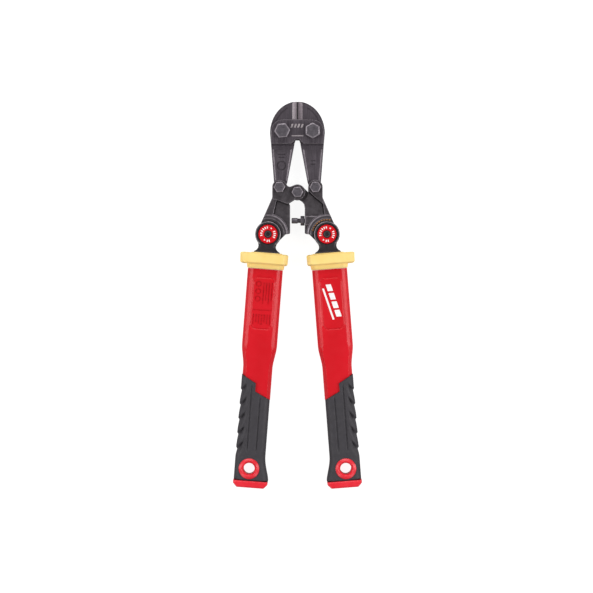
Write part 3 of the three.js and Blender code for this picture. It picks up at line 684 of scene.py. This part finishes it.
def hex_blank(flats, foot, top, turn):
    """A hexagon with a sloping rim round its outer end, paler as polished wear and as a painted highlight,
    and its corners turned off.
    """
    outward = math.copysign(1, top - foot)
    stations = ((flats, foot), (flats, top - outward * RIM_FALL * flats), (flats - 2 * RIM * flats, top))
    made = loft([[(*corner, z) for corner in hexagon(across, turn)] for across, z in stations], BOLT_LOOK)
    rim_faces = slice(6, 12)  # the second row of six
    for polygon in made.data.polygons[rim_faces]:
        polygon.material_index = EDGE
    reach = flats / math.sqrt(3) + 0.2
    # The turned-off corners take the edge material too: paler, partly wear and partly a painted highlight.
    turned = [(0, foot), (reach, foot), (reach, top - outward * CORNER_FALL * flats), (flats * CORNER_R, top),
              (0, top)]
    return common(made, lathe(turned, BOLT_LOOK, skins={2: EDGE}))


def hex_bolt(spec, face_z, turn):
    """A head with a shallow dish, and a shank that ends in three rings of thread."""
    flats, shank = spec["flats"], spec["shank"]
    foot = face_z + PLAY
    top = foot + spec["head"]
    end = -face_z - PLAY - spec["nut"] - 1
    dished = [(0, top - 0.35), (flats * 0.24, top - 0.2), (flats * 0.3, top + 1), (0, top + 1)]
    pitch, thread = shank * 0.3, 0.35
    ridges = [(0, end)]
    for k in range(3):
        ridges += [(shank - thread, end + k * pitch), (shank, end + (k + 0.5) * pitch)]
    ridges += [(shank, foot + 0.5), (0, foot + 0.5)]
    head = carve(hex_blank(flats, foot, top, turn), lathe(dished, BOLT_LOOK))
    return join(head, lathe(ridges, BOLT_LOOK, 48))


def hex_nut(spec, face_z, turn):
    """A nut whose bore opens out at its outer face."""
    top = -face_z - PLAY
    foot = top - spec["nut"]
    bore, mouth = spec["shank"] + 0.15, spec["shank"] + 1.1
    inside = [(0, foot - 1), (mouth, foot - 1), (bore, foot + 0.8), (bore, top + 1), (0, top + 1)]
    return carve(hex_blank(spec["flats"], top, foot, turn), lathe(inside, BOLT_LOOK, 48))


def bolt_pair(spec, x, y, face_z, turn, name, body, node_name):
    """A bolt from the front and its nut at the back, which stands a little turned against it."""
    bolt = shifted(hex_bolt(spec, face_z, turn), x, y)
    settle(bolt, f"{name}_bolt", tool_frame, body, "bolt_steel", f"{node_name}_bolt")
    nut = shifted(hex_nut(spec, face_z, turn + 0.3), x, y)
    settle(nut, f"{name}_nut", tool_frame, body, "bolt_steel", f"{node_name}_nut")


# ---- Linkage brackets ------------------------------------------------------------------------------
WEB_HALF, STEP_HALF, RIB_HALF, TONGUE_HALF = 5.5, 7.2, 7.7, 3.0
EAR_R, KNUCKLE_R, BOSS_R = 7.3, 6.9, 11.6
INNER = 6.95  # the brackets' straight inner edges
STOP_Y = -26.9
STOP_AXIS = Matrix.Translation((0, STOP_Y, 0)) @ Matrix.Rotation(math.pi / 2, 4, "Y")  # of the stop screw
DRIFT = (1.15, -0.5, 1.6)  # room for the tongue, which strays from the centre bolt with the jaws part open
CLEVIS = ARM_HALF + 0.3

BODY = [(23.9, 4.75), (23.9, -5.1, 4), (37.4, -35.7), (27.9, -39.9), (19.7, -48.1), (11.2, -39.7, 1),
        (INNER, -39.2, 1.2), (INNER, -12, 3), (10.3, -7.5, 2), (10.1, 4.75)]
RIB_OUTER = [(23.9, -3), (23.9, -5.1, 4), (37.4, -35.7), (31, -33)]
RIB_INNER = {LEFT: [(22.7, -20.3), (19.9, -8.5), (19.5, -4)],
             RIGHT: [(25.6, -20.3), (24.2, -10.5), (22.5, -4)]}
# Shadow lines beside the rib and under the ear or cheek.
FOOT_LINES = {LEFT: [(22.1, -20.3), (19.5, -8.3), (9.4, -11.9)],
              RIGHT: [(25.0, -20.3), (23.7, -11.4), (11.2, -0.6)]}
EAR = [(23.9, 4.75), (23.9, -5.1, 4), (23, -7.2), (20.5, -7.2), (9.4, -11.2, 1.5), (6.2, -9.2, 2),
       (2.5, -6.8), (0, 0), (3, 6.6), (8.3, 4.6, 4), (11, 8)]
CHEEK = [(23.9, 4.75), (23.9, -5.1, 4), (25, -9.5), (23.5, -11.2, 1.5), (21.7, -10, 3), (10.3, 1.4),
         (10.1, 4.75)]
TONGUE = [(0, 0), (1.5, -7.1), (4.6, -8.9, 3), (6.4, -11.2, 3), (INNER, -15), (20, -12), (20, -9.2),
          (5.1, 5.1)]
BOSS_STEPS = [(0, 5.2), (12.9, 5.2), (13.1, 6.2), (14.8, 6.2), (15.6, 6.6), (17.2, 6.6), (17.4, 6.75),
              (18.8, 7.25), (18.8, OVER), (0, OVER)]
# The steps' chamfers are painted paler as highlight arcs round the boss.
BOSS_SKINS = {3: EDGE, 6: PAINTED_HIGHLIGHT}  # the two chamfers of those steps
PIVOT_BORE = 3.3
GEAR_POCKET_R, GEAR_POCKET_Z = 10.7, -2.2


def disc(x, y, radius, half, edge=0.0):
    return rod(x, y, radius, -half, half, CAST_LOOK, edge)


def bracket_body(side, extra):
    """Web, rib, knuckle and stepped boss, with the folding joint's bores."""
    x, y = side * fold.x, fold.y
    flat = rounded(BODY, side)
    rib = RIB_OUTER + RIB_INNER[side]
    step = common(slab(flat, -STEP_HALF, STEP_HALF, CAST_LOOK, 0.5), disc(x, y, 19.7, STEP_HALF, 0.5))
    made = join(
        slab(flat, -WEB_HALF, WEB_HALF, CAST_LOOK, 0.5),
        disc(x, y, BOSS_R, WEB_HALF, 0.4),
        step,
        slab(rounded(rib, side), -RIB_HALF, RIB_HALF, CAST_LOOK, 0.6),
        disc(side * link.x, link.y, KNUCKLE_R, CHEEK_HALF, 0.6),
        *extra,
    )
    turned = shifted(lathe(BOSS_STEPS, CAST_LOOK, 96, skins=BOSS_SKINS), x, y)
    return carve(
        made, *mirrored_too([turned, *channel(FOOT_LINES[side], 1.1, WEB_HALF - 1.5, side, CAST_LOOK)]),
        rod(x, y, GEAR_POCKET_R, GEAR_POCKET_Z, THROUGH, CAST_LOOK),
        rod(x, y, PIVOT_BORE, -THROUGH, THROUGH, CAST_LOOK),
        rod(side * link.x, link.y, LINK_BORE, -THROUGH, THROUGH, CAST_LOOK),
    )


def left_bracket():
    """Forks around the jaw's tail and around the right bracket's tongue."""
    ear = slab(rounded(EAR, LEFT), -CHEEK_HALF, CHEEK_HALF, CAST_LOOK, 0.6)
    made = carve(
        bracket_body(LEFT, [ear, disc(0, 0, EAR_R, CHEEK_HALF, 0.6)]),
        box(-30, -5, link.y - 7.2, 20, -CLEVIS, CLEVIS, CAST_LOOK),
        rod(-DRIFT[0], DRIFT[1], EAR_R + DRIFT[2] + 0.1, -TONGUE_HALF - 0.3, TONGUE_HALF + 0.3, CAST_LOOK),
        rod(0, 0, LINK_BORE, -THROUGH, THROUGH, CAST_LOOK),
    )
    settle(made, "left_bracket", tool_frame, "bracket_left", "cast_steel", "bracket_left")


def right_bracket():
    """Carries the tongue and the stop screw's barrel."""
    cheek = slab(rounded(CHEEK, RIGHT), -CHEEK_HALF, CHEEK_HALF, CAST_LOOK, 0.6)
    tongue = slab(rounded(TONGUE, RIGHT), -WEB_HALF, WEB_HALF, CAST_LOOK, 0.5)
    high, low = STOP_Y + 4.6, STOP_Y - 4.6
    barrel = slab([(INNER, low), (22, low), (22, high), (INNER, high)], -7, 7, CAST_LOOK, 1.2, 3)
    bore = moved(rod(0, 0, 2.55, 0, 18.5, CAST_LOOK), STOP_AXIS)
    reliefs = mirrored_too([rod(DRIFT[0], DRIFT[1], EAR_R + DRIFT[2], TONGUE_HALF, THROUGH, CAST_LOOK)])
    made = carve(
        bracket_body(RIGHT, [barrel, cheek, tongue, disc(0, 0, EAR_R, TONGUE_HALF, 0.3)]),
        *reliefs,
        disc(link.x, link.y, 7.2, CLEVIS),
        box(9.6, 30, link.y, 20, -CLEVIS, CLEVIS, CAST_LOOK),
        box(link.x, 30, link.y - 7.2, 20, -CLEVIS, CLEVIS, CAST_LOOK),
        disc(DRIFT[0], DRIFT[1], M6["shank"] + DRIFT[2], THROUGH),
        bore,
    )
    settle(made, "right_bracket", tool_frame, "bracket_right", "cast_steel", "bracket_right")


def stop_screw():
    """Along X, through its jam nut into the right bracket's barrel."""
    tip, neck, pitch, end = 2.65, 0.2, 0.8, 17.9
    root, crest = 1.95, 2.3
    profile = [(0, -5.6), (tip - 0.5, -5.6), (tip, -5.1), (tip, neck - 0.3), (tip - 0.3, neck)]
    for k in range(int((end - neck) / pitch)):
        profile += [(root, neck + (k + 0.1) * pitch), (crest, neck + (k + 0.6) * pitch)]
    profile += [(0, end)]
    settle(moved(lathe(profile, BOLT_LOOK, 32), STOP_AXIS), "stop_screw_thread", tool_frame, "bracket_right",
           "bolt_steel", "stop_screw")
    nut = slab(hexagon(8, math.pi / 2), 2.9, 6.7, (BOLT,), 0.4)
    nut = carve(nut, rod(0, 0, 2.5, 2, 8, BOLT_LOOK))
    settle(moved(nut, STOP_AXIS), "stop_screw_nut", tool_frame, "bracket_right", "bolt_steel",
           "stop_screw_jam_nut")


def laser_marks():
    """A run of plain brown dashes round the right bracket's boss."""
    count, first, pitch, length = 9, 76, 10.5, 7  # the last three in degrees
    rims = ((14.5, 1), (13.3, -1))  # out along one way, and back along the other
    dashes = []
    for k in range(count):
        start = math.radians(first + pitch * k)
        arc = [start + math.radians(length) * i / 4 for i in range(5)]
        flat = [(r * math.cos(t), r * math.sin(t)) for r, way in rims for t in arc[::way]]
        dashes.append(slab(flat, 6.1, 6.25, (BROWN_MARK,)))
    settle(gather(dashes), "boss_marks", handle_frame(RIGHT, False), "bracket_right", None)


# ---- Folding joints --------------------------------------------------------------------------------
HUB_R, HUB_HALF, HUB_INNER = 12.2, 10.5, 5.5
BUTTON_BORE = 9.7
NUT_POCKET_R, NUT_POCKET_Z = 6.6, -7.5
INK_Z = (10.6, 10.76)  # the button's marks, from just under its face


def pivot_screw(side):
    """Star-socket screw: a low rounded head in the middle of the button, its nut at the back."""
    name = SIDES[side]
    profile = [(0, -11.9), (3, -11.9), (3, 7), (3.3, 7), (3.3, 10.2), (2.8, 10.7), (0, 10.8)]
    star = []
    count, lobes, middle_r, wave = 72, 6, 1.85, 0.3
    for i in range(count):
        turn = 2 * math.pi * i / count
        reach = middle_r + wave * math.cos(lobes * turn)
        star.append((reach * math.cos(turn), reach * math.sin(turn)))
    made = carve(lathe(profile, (CAST,)), slab(star, 8.8, THROUGH, (CAST,)))
    settle(made, f"{name}_pivot_screw", handle_frame(side, False), f"bracket_{name}", "hub_steel",
           f"pivot_bolt_{name}")
    nut = carve(hex_blank(10, -7.8, -11.4, 0), rod(0, 0, 3.15, -OVER, 0, BOLT_LOOK))
    settle(nut, f"{name}_pivot_nut", handle_frame(side, False), f"bracket_{name}", "bolt_steel",
           f"pivot_nut_{name}")


def push_button(side):
    """Red ring button, dished between two rims, with a ring of plain white marks."""
    name = SIDES[side]
    profile = [(3.7, 6.9), (9, 6.9), (9, 10.5), (8.6, 10.9), (8.1, 10.9), (7.9, 10.7), (4.8, 10.7),
               (4.5, 10.9), (4.0, 10.9), (3.7, 10.6)]
    made = lathe(profile, (RED,))
    settle(made, f"{name}_button", handle_frame(side, False), f"lock_{name}", "red_plastic",
           f"push_button_{name}")
    bar = rounded([(5.3, -0.42, 0.2), (7.4, -0.55, 0.2), (7.4, 0.55, 0.2), (5.3, 0.42, 0.2)])
    arrow = [(5.4, -0.7), (7.2, -0.7), (6.3, 0.9)]
    groups = ((-28, 4, 17), (-96, 2, 17), (95, 6, 19))  # each group's first angle, count and spacing
    spots = [(bar, start + pitch * k) for start, count, pitch in groups for k in range(count)]
    spots += [(arrow, angle) for angle in (62, -120)]
    marks = [shifted(slab(flat, *INK_Z, (INK,)), turn=math.radians(angle)) for flat, angle in spots]
    settle(gather(marks), f"{name}_button_marks", handle_frame(side, False), f"lock_{name}", None)


def lock_spring(side):
    """Round-wire coil under the lock gear."""
    name = SIDES[side]
    radius, wire, turns = 6.0, 0.5, 3.5
    low, high = -1.5, 4.1
    steps_a_turn, wire_sides = 32, 10
    steps = int(turns * steps_a_turn)
    rings = []
    for i in range(steps + 1):
        turn = 2 * math.pi * turns * i / steps
        out = Vector((math.cos(turn), math.sin(turn), 0))
        spot = out * radius + Vector((0, 0, low + (high - low) * i / steps))
        rings.append([spot + out * (wire * math.cos(a)) + Vector((0, 0, wire * math.sin(a)))
                      for a in (2 * math.pi * k / wire_sides for k in range(wire_sides))])
    coil = settle(loft(rings, (SPRING,)), f"{name}_lock_coil", handle_frame(side, False), f"bracket_{name}",
                  "spring_steel", f"lock_spring_{name}", sharp=60)
    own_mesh(coil)


# ---- Handles ---------------------------------------------------------------------------------------
def section(inner, outer, half, along, corner, steps=6):
    """A ring across the handle, rounded at its corners; corner is (across, radius)."""
    cut, radius = corner
    flat = [(outer, -half + cut, radius), (outer, half - cut, radius), (outer - cut, half, radius),
            (-inner + cut, half, radius), (-inner, half - cut, radius), (-inner, -half + cut, radius),
            (-inner + cut, -half, radius), (outer - cut, -half, radius)]
    return [(x, -along, z) for x, z in rounded(flat, steps=steps)]


def shouldered(width, half, along, fade=0, steps=5):
    """A ring across the handle shell: flat faces, a narrow sloping band along each edge, and steep sides.

    The band turns into a plain round edge as fade goes from 0 to 1.
    """
    corner = [(width, 4.6, 2.5), (width - 2.4 + 0.9 * fade, half - 1.3 - 1.5 * fade, 0.9 + 2.4 * fade),
              (width - 5.4 + 2.2 * fade, half, 2 - 1.6 * fade)]
    right = [(x, -z, r) for x, z, r in reversed(corner)] + corner
    flat = right + [(-x, -z, r) for x, z, r in right]
    return [(x, -along, z) for x, z in rounded(flat, steps=steps)]


def sided(obj, side):
    """Mirrors a piece drawn for the right handle to the left one."""
    return moved(obj, Matrix.Scale(side, 4, (1, 0, 0)))


def hub(side):
    """Fork with two round cheeks, a waisted neck and a flared foot on the hand guard."""
    name = SIDES[side]
    # Each ring down the handle: how far along, its inner and outer reach, and half its thickness.
    stations = [(6, 9.6, 9.4, 10.5), (9, 8.7, 8.6, 10.5), (11.5, 8.1, 8.1, 10.5), (13.6, 8.7, 8.5, 10.5),
                (15.6, 10.5, 10.0, 10.6), (16.4, 12.0, 11.4, 11.9), (17.0, 12.5, 11.9, 12.2),
                (17.9, 12.5, 11.9, 12.2)]
    neck = loft([section(i, o, h, s, (1.6, 0.9), 3) for s, i, o, h in stations], HUB_LOOK)
    made = join(rod(0, 0, HUB_R, -HUB_HALF, HUB_HALF, HUB_LOOK, 0.9), sided(neck, side))
    made = carve(
        made,
        rod(0, 0, BOSS_R + 0.5, -HUB_INNER, HUB_INNER, HUB_LOOK),
        box(-30, 30, -8.5, 30, -HUB_INNER, HUB_INNER, HUB_LOOK),
        rod(0, 0, BUTTON_BORE, HUB_INNER - 1, THROUGH, HUB_LOOK),
        rod(0, 0, PIVOT_BORE, -THROUGH, 0, HUB_LOOK),
        rod(0, 0, NUT_POCKET_R, -THROUGH, NUT_POCKET_Z, HUB_LOOK),
    )
    settle(made, f"{name}_hub", handle_frame(side), f"handle_{name}", "hub_steel", f"hub_{name}")


def hand_guard(side):
    """Flanged guard with soft edges, a raised seat for the hub's foot, and a skirt over the shell."""
    name = SIDES[side]
    # Rings down the handle, given as the hub's are.
    seat = [(17.6, 14.6, 14.0, 13.6), (18.0, 15.2, 14.6, 14.2), (18.6, 15.4, 14.8, 14.4)]
    flange = [(18.2, 18.9, 22.7, 15.1), (18.5, 20.0, 23.8, 16.2), (19.4, 20.8, 24.6, 17.0),
              (27.4, 20.6, 24.2, 16.8), (28.3, 19.8, 23.4, 16.0), (28.7, 18.6, 22.0, 14.8)]
    skirt = [(28.0, 17.9, 17.9, 12.2), (31.0, 17.5, 17.5, 11.8), (32.4, 17.2, 17.2, 11.5),
             (32.9, 16.7, 16.7, 11.0)]
    parts = [loft([section(i, o, h, s, (3.6, 3.6), 5) for s, i, o, h in rows], (YELLOW,))
             for rows in (seat, flange, skirt)]
    made = join(parts[1], parts[0], parts[2])
    foot = loft([section(12.8, 12.2, 12.5, s, (1.8, 1.0), 3) for s in (16, 17.95)], (YELLOW,))
    made = carve(made, foot)
    settle(sided(made, side), f"{name}_hand_guard", handle_frame(side), f"handle_{name}", "yellow_plastic",
           f"hand_guard_{name}")


SHELL_TOP, TAPER_FROM, TAPER_TO = 33.2, 105.0, 127.0
SHELL_HALF, SHELL_WIDTH, WAIST = 10.5, 16.6, 13.9
# The stepped edge where the shell ends and the grip begins, from the outer side to the inner.
GRIP_EDGE = [(20, 130.5), (0.6, 141.4), (0.6, 149.1), (-20, 159.4)]
PANEL = [(10.3, 45, 0.5), (10.3, 86.5, 0.5), (6.9, 90, 0.5), (-6.9, 90, 0.5), (-10.3, 86.5, 0.5),
         (-10.3, 45, 0.5), (-6.9, 41.5, 0.5), (6.9, 41.5, 0.5)]
PANEL_Z = SHELL_HALF - 0.15
CORE_ROOM = (-8.3, 8.3, -208.3, 0, -6.1, 6.1)  # the shell's hollow, in x, y and z


def along_handle(points):
    """(u, distance, ...) points as (x, y, ...) in the handle's frame."""
    return [(u, -along, *rest) for u, along, *rest in points]


def above_edge(shift):
    """Everything on the shell's side of the stepped edge."""
    edge = [(u, along + shift) for u, along in GRIP_EDGE]
    return slab(along_handle([(20, 0), *edge, (-20, 0)]), -20, 20, (RED,))


def moulded_marks():
    """Plain rings, short bars and a dividing line, sunk into the panel by raised shapes in the mould."""
    low, high = PANEL_Z - 0.8, SHELL_HALF + 1
    marks = []
    outer, inner = 2.8, 1.8
    for along in (47.5, 54.5, 61.5):
        ring = rod(5, -along, outer, low, high, (RED,))
        marks.append(carve(ring, rod(5, -along, inner, low - 1, high + 1, (RED,))))
    first, pitch, thin = -8.2, 2.6, 0.9
    rows = [(first + pitch * k, 46, 17 + 3 * (k % 2), thin) for k in range(4)]
    rows += [(first + pitch * k, 76, 10 - k % 3, thin) for k in range(7)]
    rows += [(-9.2, 71.6, thin, 18.4)]
    for u, start, length, width in rows:
        far_u, end = u + width, start + length
        bar = [(u, start, 0.3), (far_u, start, 0.3), (far_u, end, 0.3), (u, end, 0.3)]
        marks.append(slab(rounded(along_handle(bar)), low, high, (RED,)))
    return marks


def shell(side):
    """Glossy shell with broad shoulders and a cut-cornered panel on each face, narrowing to the grip."""
    name = SIDES[side]
    rings = []
    before, count = 4, 16
    waist = [TAPER_FROM - before + (TAPER_TO + before - TAPER_FROM) * k / count for k in range(count + 1)]
    for along in [SHELL_TOP, 60, *waist, 140, 165]:
        width = SHELL_WIDTH + (WAIST - SHELL_WIDTH) * smooth(TAPER_FROM, TAPER_TO, along)
        fade = smooth(TAPER_FROM - before, TAPER_FROM + 10, along)
        rings.append(shouldered(width, SHELL_HALF, along, fade))
    made = loft(rings, (RED,))
    outline, depth = along_handle(PANEL), 0.95
    groove = tapered(outline, SHELL_HALF - depth, SHELL_HALF + 0.01, 1.7, (RED,))
    panel = tapered(grown(outline, 0.5), SHELL_HALF - depth - 0.3, PANEL_Z, -1.5, (RED,))
    made = carve(common(made, above_edge(0)), *mirrored_too([groove]))
    made = join(made, *mirrored_too([panel]))
    made = carve(made, box(*CORE_ROOM, (RED,)))
    if side == LEFT:
        made = carve(made, *moulded_marks())
    settle(sided(made, side), f"{name}_shell", handle_frame(side), f"handle_{name}", "red_plastic",
           f"handle_shell_{name}")


def printed_mark(side):
    """A plain white mark on the right handle's panel: a slanting row of blocks beside a thin line."""
    slant, pitch, length = 0.26, 8.2, 6.4
    line = (-8.6, 1.8, 51, 0, 30)
    blocks = [(-5.0, 5.0, 47.5, pitch * k, pitch * k + length) for k in range(4)]
    bars = []
    for u, width, start, first, last in [line, *blocks]:
        corners = [(u + slant * first, start + first), (u + width + slant * first, start + first),
                   (u + width + slant * last, start + last), (u + slant * last, start + last)]
        flat = rounded(along_handle([(*c, 0.4) for c in corners]))
        bars.append(slab(flat, PANEL_Z - 0.05, PANEL_Z + 0.06, (INK,)))
    name = SIDES[side]
    settle(sided(gather(bars), side), f"{name}_panel_mark", handle_frame(side), f"handle_{name}", None)


GRIP_HALF, GRIP_TOP, GRIP_END = 12.3, 126, 233.7
GRIP_ROWS, GRIP_COLUMNS = 150, 210  # of its mesh
GRIP_HOLLOW = (-10.2, 10.2, -211.3, 0, -8, 8)  # in x, y and z
GROOVES, GROOVE_DEPTH = (4.1, -4.6), 1.1  # two long grooves in each face
CAP_HALF = 13.6
RIPPLE = {"pitch": 13.8, "from": 147, "to": 213, "inner": 6.8, "depth": 2.8}
EYELET_AT = (0.85, 222.5)
EYELET_R, EYELET_HOLE = 9.9, 5.3


def dent(u, along):
    """How deep the grip's pattern goes in, in millimetres."""
    deep = 0.0
    for line, start in zip(GROOVES, (140, 150)):
        ends = smooth(start, start + 6, along) * (1 - smooth(203, 209, along))
        deep += GROOVE_DEPTH * ends * math.exp(-((u - line) / 0.55) ** 2)
    first, last, inner = RIPPLE["from"], RIPPLE["to"], RIPPLE["inner"]
    reach = smooth(inner, inner + 4, u) * smooth(first - 6, first, along)
    reach *= (1 - smooth(last - 8, last, along)) * (1 - 0.6 * smooth(12.3, 14.4, u))
    slope, steep = 1.1, 0.11  # how far a ridge slants, and the share of its pitch that its steep side takes
    phase = ((along - first - slope * (u - 14)) / RIPPLE["pitch"]) % 1
    tooth = smooth(0, steep, phase) * ((1 - phase) / (1 - steep)) ** 1.7
    return deep + RIPPLE["depth"] * reach * tooth


def even_ring(inner, outer, half, corner, count):
    """count points evenly spaced round a section, each with its outward direction."""
    sharp = [(outer, -half), (outer, half), (-inner, half), (-inner, -half)]
    flat = rounded([(*point, corner) for point in sharp], steps=12)
    lengths = [(flat[(i + 1) % len(flat)] - p).length for i, p in enumerate(flat)]
    step = sum(lengths) / count
    points, i, left = [], 0, 0.0
    for _ in range(count):
        while left > lengths[i]:
            left -= lengths[i]
            i = (i + 1) % len(flat)
        way = (flat[(i + 1) % len(flat)] - flat[i]).normalized()
        points.append((flat[i] + way * left, Vector((way.y, -way.x))))
        left += step
    return points


def grip(side):
    """Soft grip with two long grooves, a run of slanting finger ridges on the outside, and a flared end."""
    name = SIDES[side]
    rows = []
    for k in range(GRIP_ROWS + 1):
        along = GRIP_TOP + (GRIP_END - GRIP_TOP) * k / GRIP_ROWS
        flare = smooth(209, GRIP_END + 3, along) ** 1.25 * 4.7
        outer = 14.4 + 0.3 * smooth(130, 180, along)
        rounding = 0.6 * smooth(GRIP_END - 0.9, GRIP_END, along)
        ring = even_ring(13.6 + flare - rounding, outer - rounding, GRIP_HALF - rounding, 5.6, GRIP_COLUMNS)
        sunk = [(point, way * dent(point.x, along)) for point, way in ring]
        rows.append([(point.x - in_by.x, -along, point.y - in_by.y) for point, in_by in sunk])
    made = carve(loft(rows, (RUBBER,)), above_edge(0.3))
    seat = rod(EYELET_AT[0], -EYELET_AT[1], EYELET_R + 0.1, -20, 20, (RUBBER,))
    made = carve(made, seat, box(*GRIP_HOLLOW, (RUBBER,)))
    settle(sided(made, side), f"{name}_grip", handle_frame(side), f"handle_{name}", "grip_rubber",
           f"grip_{name}", sharp=50)


def end_cap(side):
    """Cap with cut corners, a little thicker than the grip."""
    name = SIDES[side]
    flat = [(15, 234), (15, 236.6, 1.6), (11.4, 240.4, 2), (-14.2, 240.4, 2), (-17.7, 236.6, 1.6),
            (-17.7, 234)]
    made = slab(rounded(along_handle(flat)), -CAP_HALF, CAP_HALF, (BRIGHT_RED,), 1.5, 4)
    settle(sided(made, side), f"{name}_end_cap", handle_frame(side), f"handle_{name}", "red_plastic",
           f"end_cap_{name}")


def eyelet(side):
    """Bush for hanging the tool, with a rounded bead at both faces."""
    name = SIDES[side]
    crest = GRIP_HALF + 0.9
    lip, depth = 1.9, 5
    throat = [(EYELET_HOLE + lip * (1 - math.cos(t)), crest - depth + depth * math.sin(t))
              for t in (math.pi * k / 18 for k in range(10))]
    front = throat + [(7.6, crest), (9.5, crest - 1), (EYELET_R, crest - 1.4)]
    profile = front + [(r, -z) for r, z in reversed(front)]
    made = shifted(lathe(profile, (BRIGHT_RED,), 96), side * EYELET_AT[0], -EYELET_AT[1])
    settle(made, f"{name}_eyelet", handle_frame(side), f"handle_{name}", "red_plastic", f"eyelet_{name}")


def hidden_parts(side):
    """Inner pieces that keep their CAD shape: the handle's core and pin, and the lock gear."""
    name = SIDES[side]
    for kind, made in (("handle_core", FIBRE), ("handle_pin", BOLT), ("lock_gear", BOLT)):
        for place in frame["nodes"][f"{kind}_{name}"].material_slots:
            place.material = made


# ---- Stage -----------------------------------------------------------------------------------------
def floor():
    """A glowing table top, wide enough to fill every view."""
    size = 12.0
    bm = bmesh.new()
    bm.faces.new([bm.verts.new((x * size, y * size, 0)) for x, y in ((-1, -1), (1, -1), (1, 1), (-1, 1))])
    ground = solid(bm, (pale_floor(),))
    ground.name = "light_table"
    ground.visible_glossy = False  # so that the glow doesn't shine back from the steep sides


def softbox(name, place, aim, size, power):
    data = bpy.data.lights.new(name, "AREA")
    data.shape = "RECTANGLE"
    data.size, data.size_y = size
    data.energy = power
    lamp = bpy.data.objects.new(name, data)
    bpy.context.scene.collection.objects.link(lamp)
    lamp.location = place
    lamp.rotation_euler = (Vector(aim) - Vector(place)).to_track_quat("-Z", "Y").to_euler()


def studio():
    scene = bpy.context.scene
    world = bpy.data.worlds.new("studio")
    scene.world = world
    world.use_nodes = True
    fill(world.node_tree, world.node_tree.nodes["Background"], {"Color": linear("#ffffff"), "Strength": 0.2})
    scene.view_settings.view_transform = "Standard"
    # Softboxes all round and none straight above: flat faces keep their colour, and slopes catch the light.
    softbox("left_box", (-1.15, 0.05, 0.95), (0, 0, 0), (0.55, 1.5), 9.5)
    softbox("right_box", (1.15, 0.05, 0.95), (0, 0, 0), (0.55, 1.5), 12.5)
    softbox("top_box", (-0.1, 1.3, 0.9), (0, 0, 0), (1.4, 0.5), 11.5)
    for side, name in SIDES.items():
        softbox(f"{name}_foot_box", (side * 0.95, -1.15, 0.95), (0, 0, 0), (0.6, 0.6), 3.7)


def camera():
    """Straight above the tool, from far off, with the tool a hair right of and above the middle."""
    data = bpy.data.cameras.new("camera")
    data.lens = 150
    view_width = 0.5634  # metres across at the tool's mid height
    left_by, down_by = 0.0009, 0.0012
    view = bpy.data.objects.new("camera", data)
    bpy.context.scene.collection.objects.link(view)
    away = view_width * data.lens / data.sensor_width
    view.location = (-left_by, -down_by, mid_height + away)
    data.clip_end = 60
    bpy.context.scene.camera = view


camera()
studio()
floor()
strap(1)
strap(-1)
JAW_BOLT_TURN = {LEFT: 0.1, RIGHT: math.pi / 6}
LINK_BOLT_TURN = 0.06
for side, name in SIDES.items():
    jaw(side)
    bolt_pair(M8, side * jaw_pivot.x, jaw_pivot.y, STRAP_Z[1], JAW_BOLT_TURN[side], f"{name}_jaw", "head",
              f"jaw_pivot_{name}")
    bolt_pair(M6, side * link.x, link.y, CHEEK_HALF, LINK_BOLT_TURN, f"{name}_link", f"bracket_{name}",
              f"link_{name}")
bolt_pair(M6, 0, 0, CHEEK_HALF, LINK_BOLT_TURN, "middle", "bracket_left", "centre")
left_bracket()
right_bracket()
stop_screw()
laser_marks()
for side in SIDES:
    pivot_screw(side)
    push_button(side)
    lock_spring(side)
    hub(side)
    hand_guard(side)
    shell(side)
    grip(side)
    end_cap(side)
    eyelet(side)
    hidden_parts(side)
printed_mark(RIGHT)
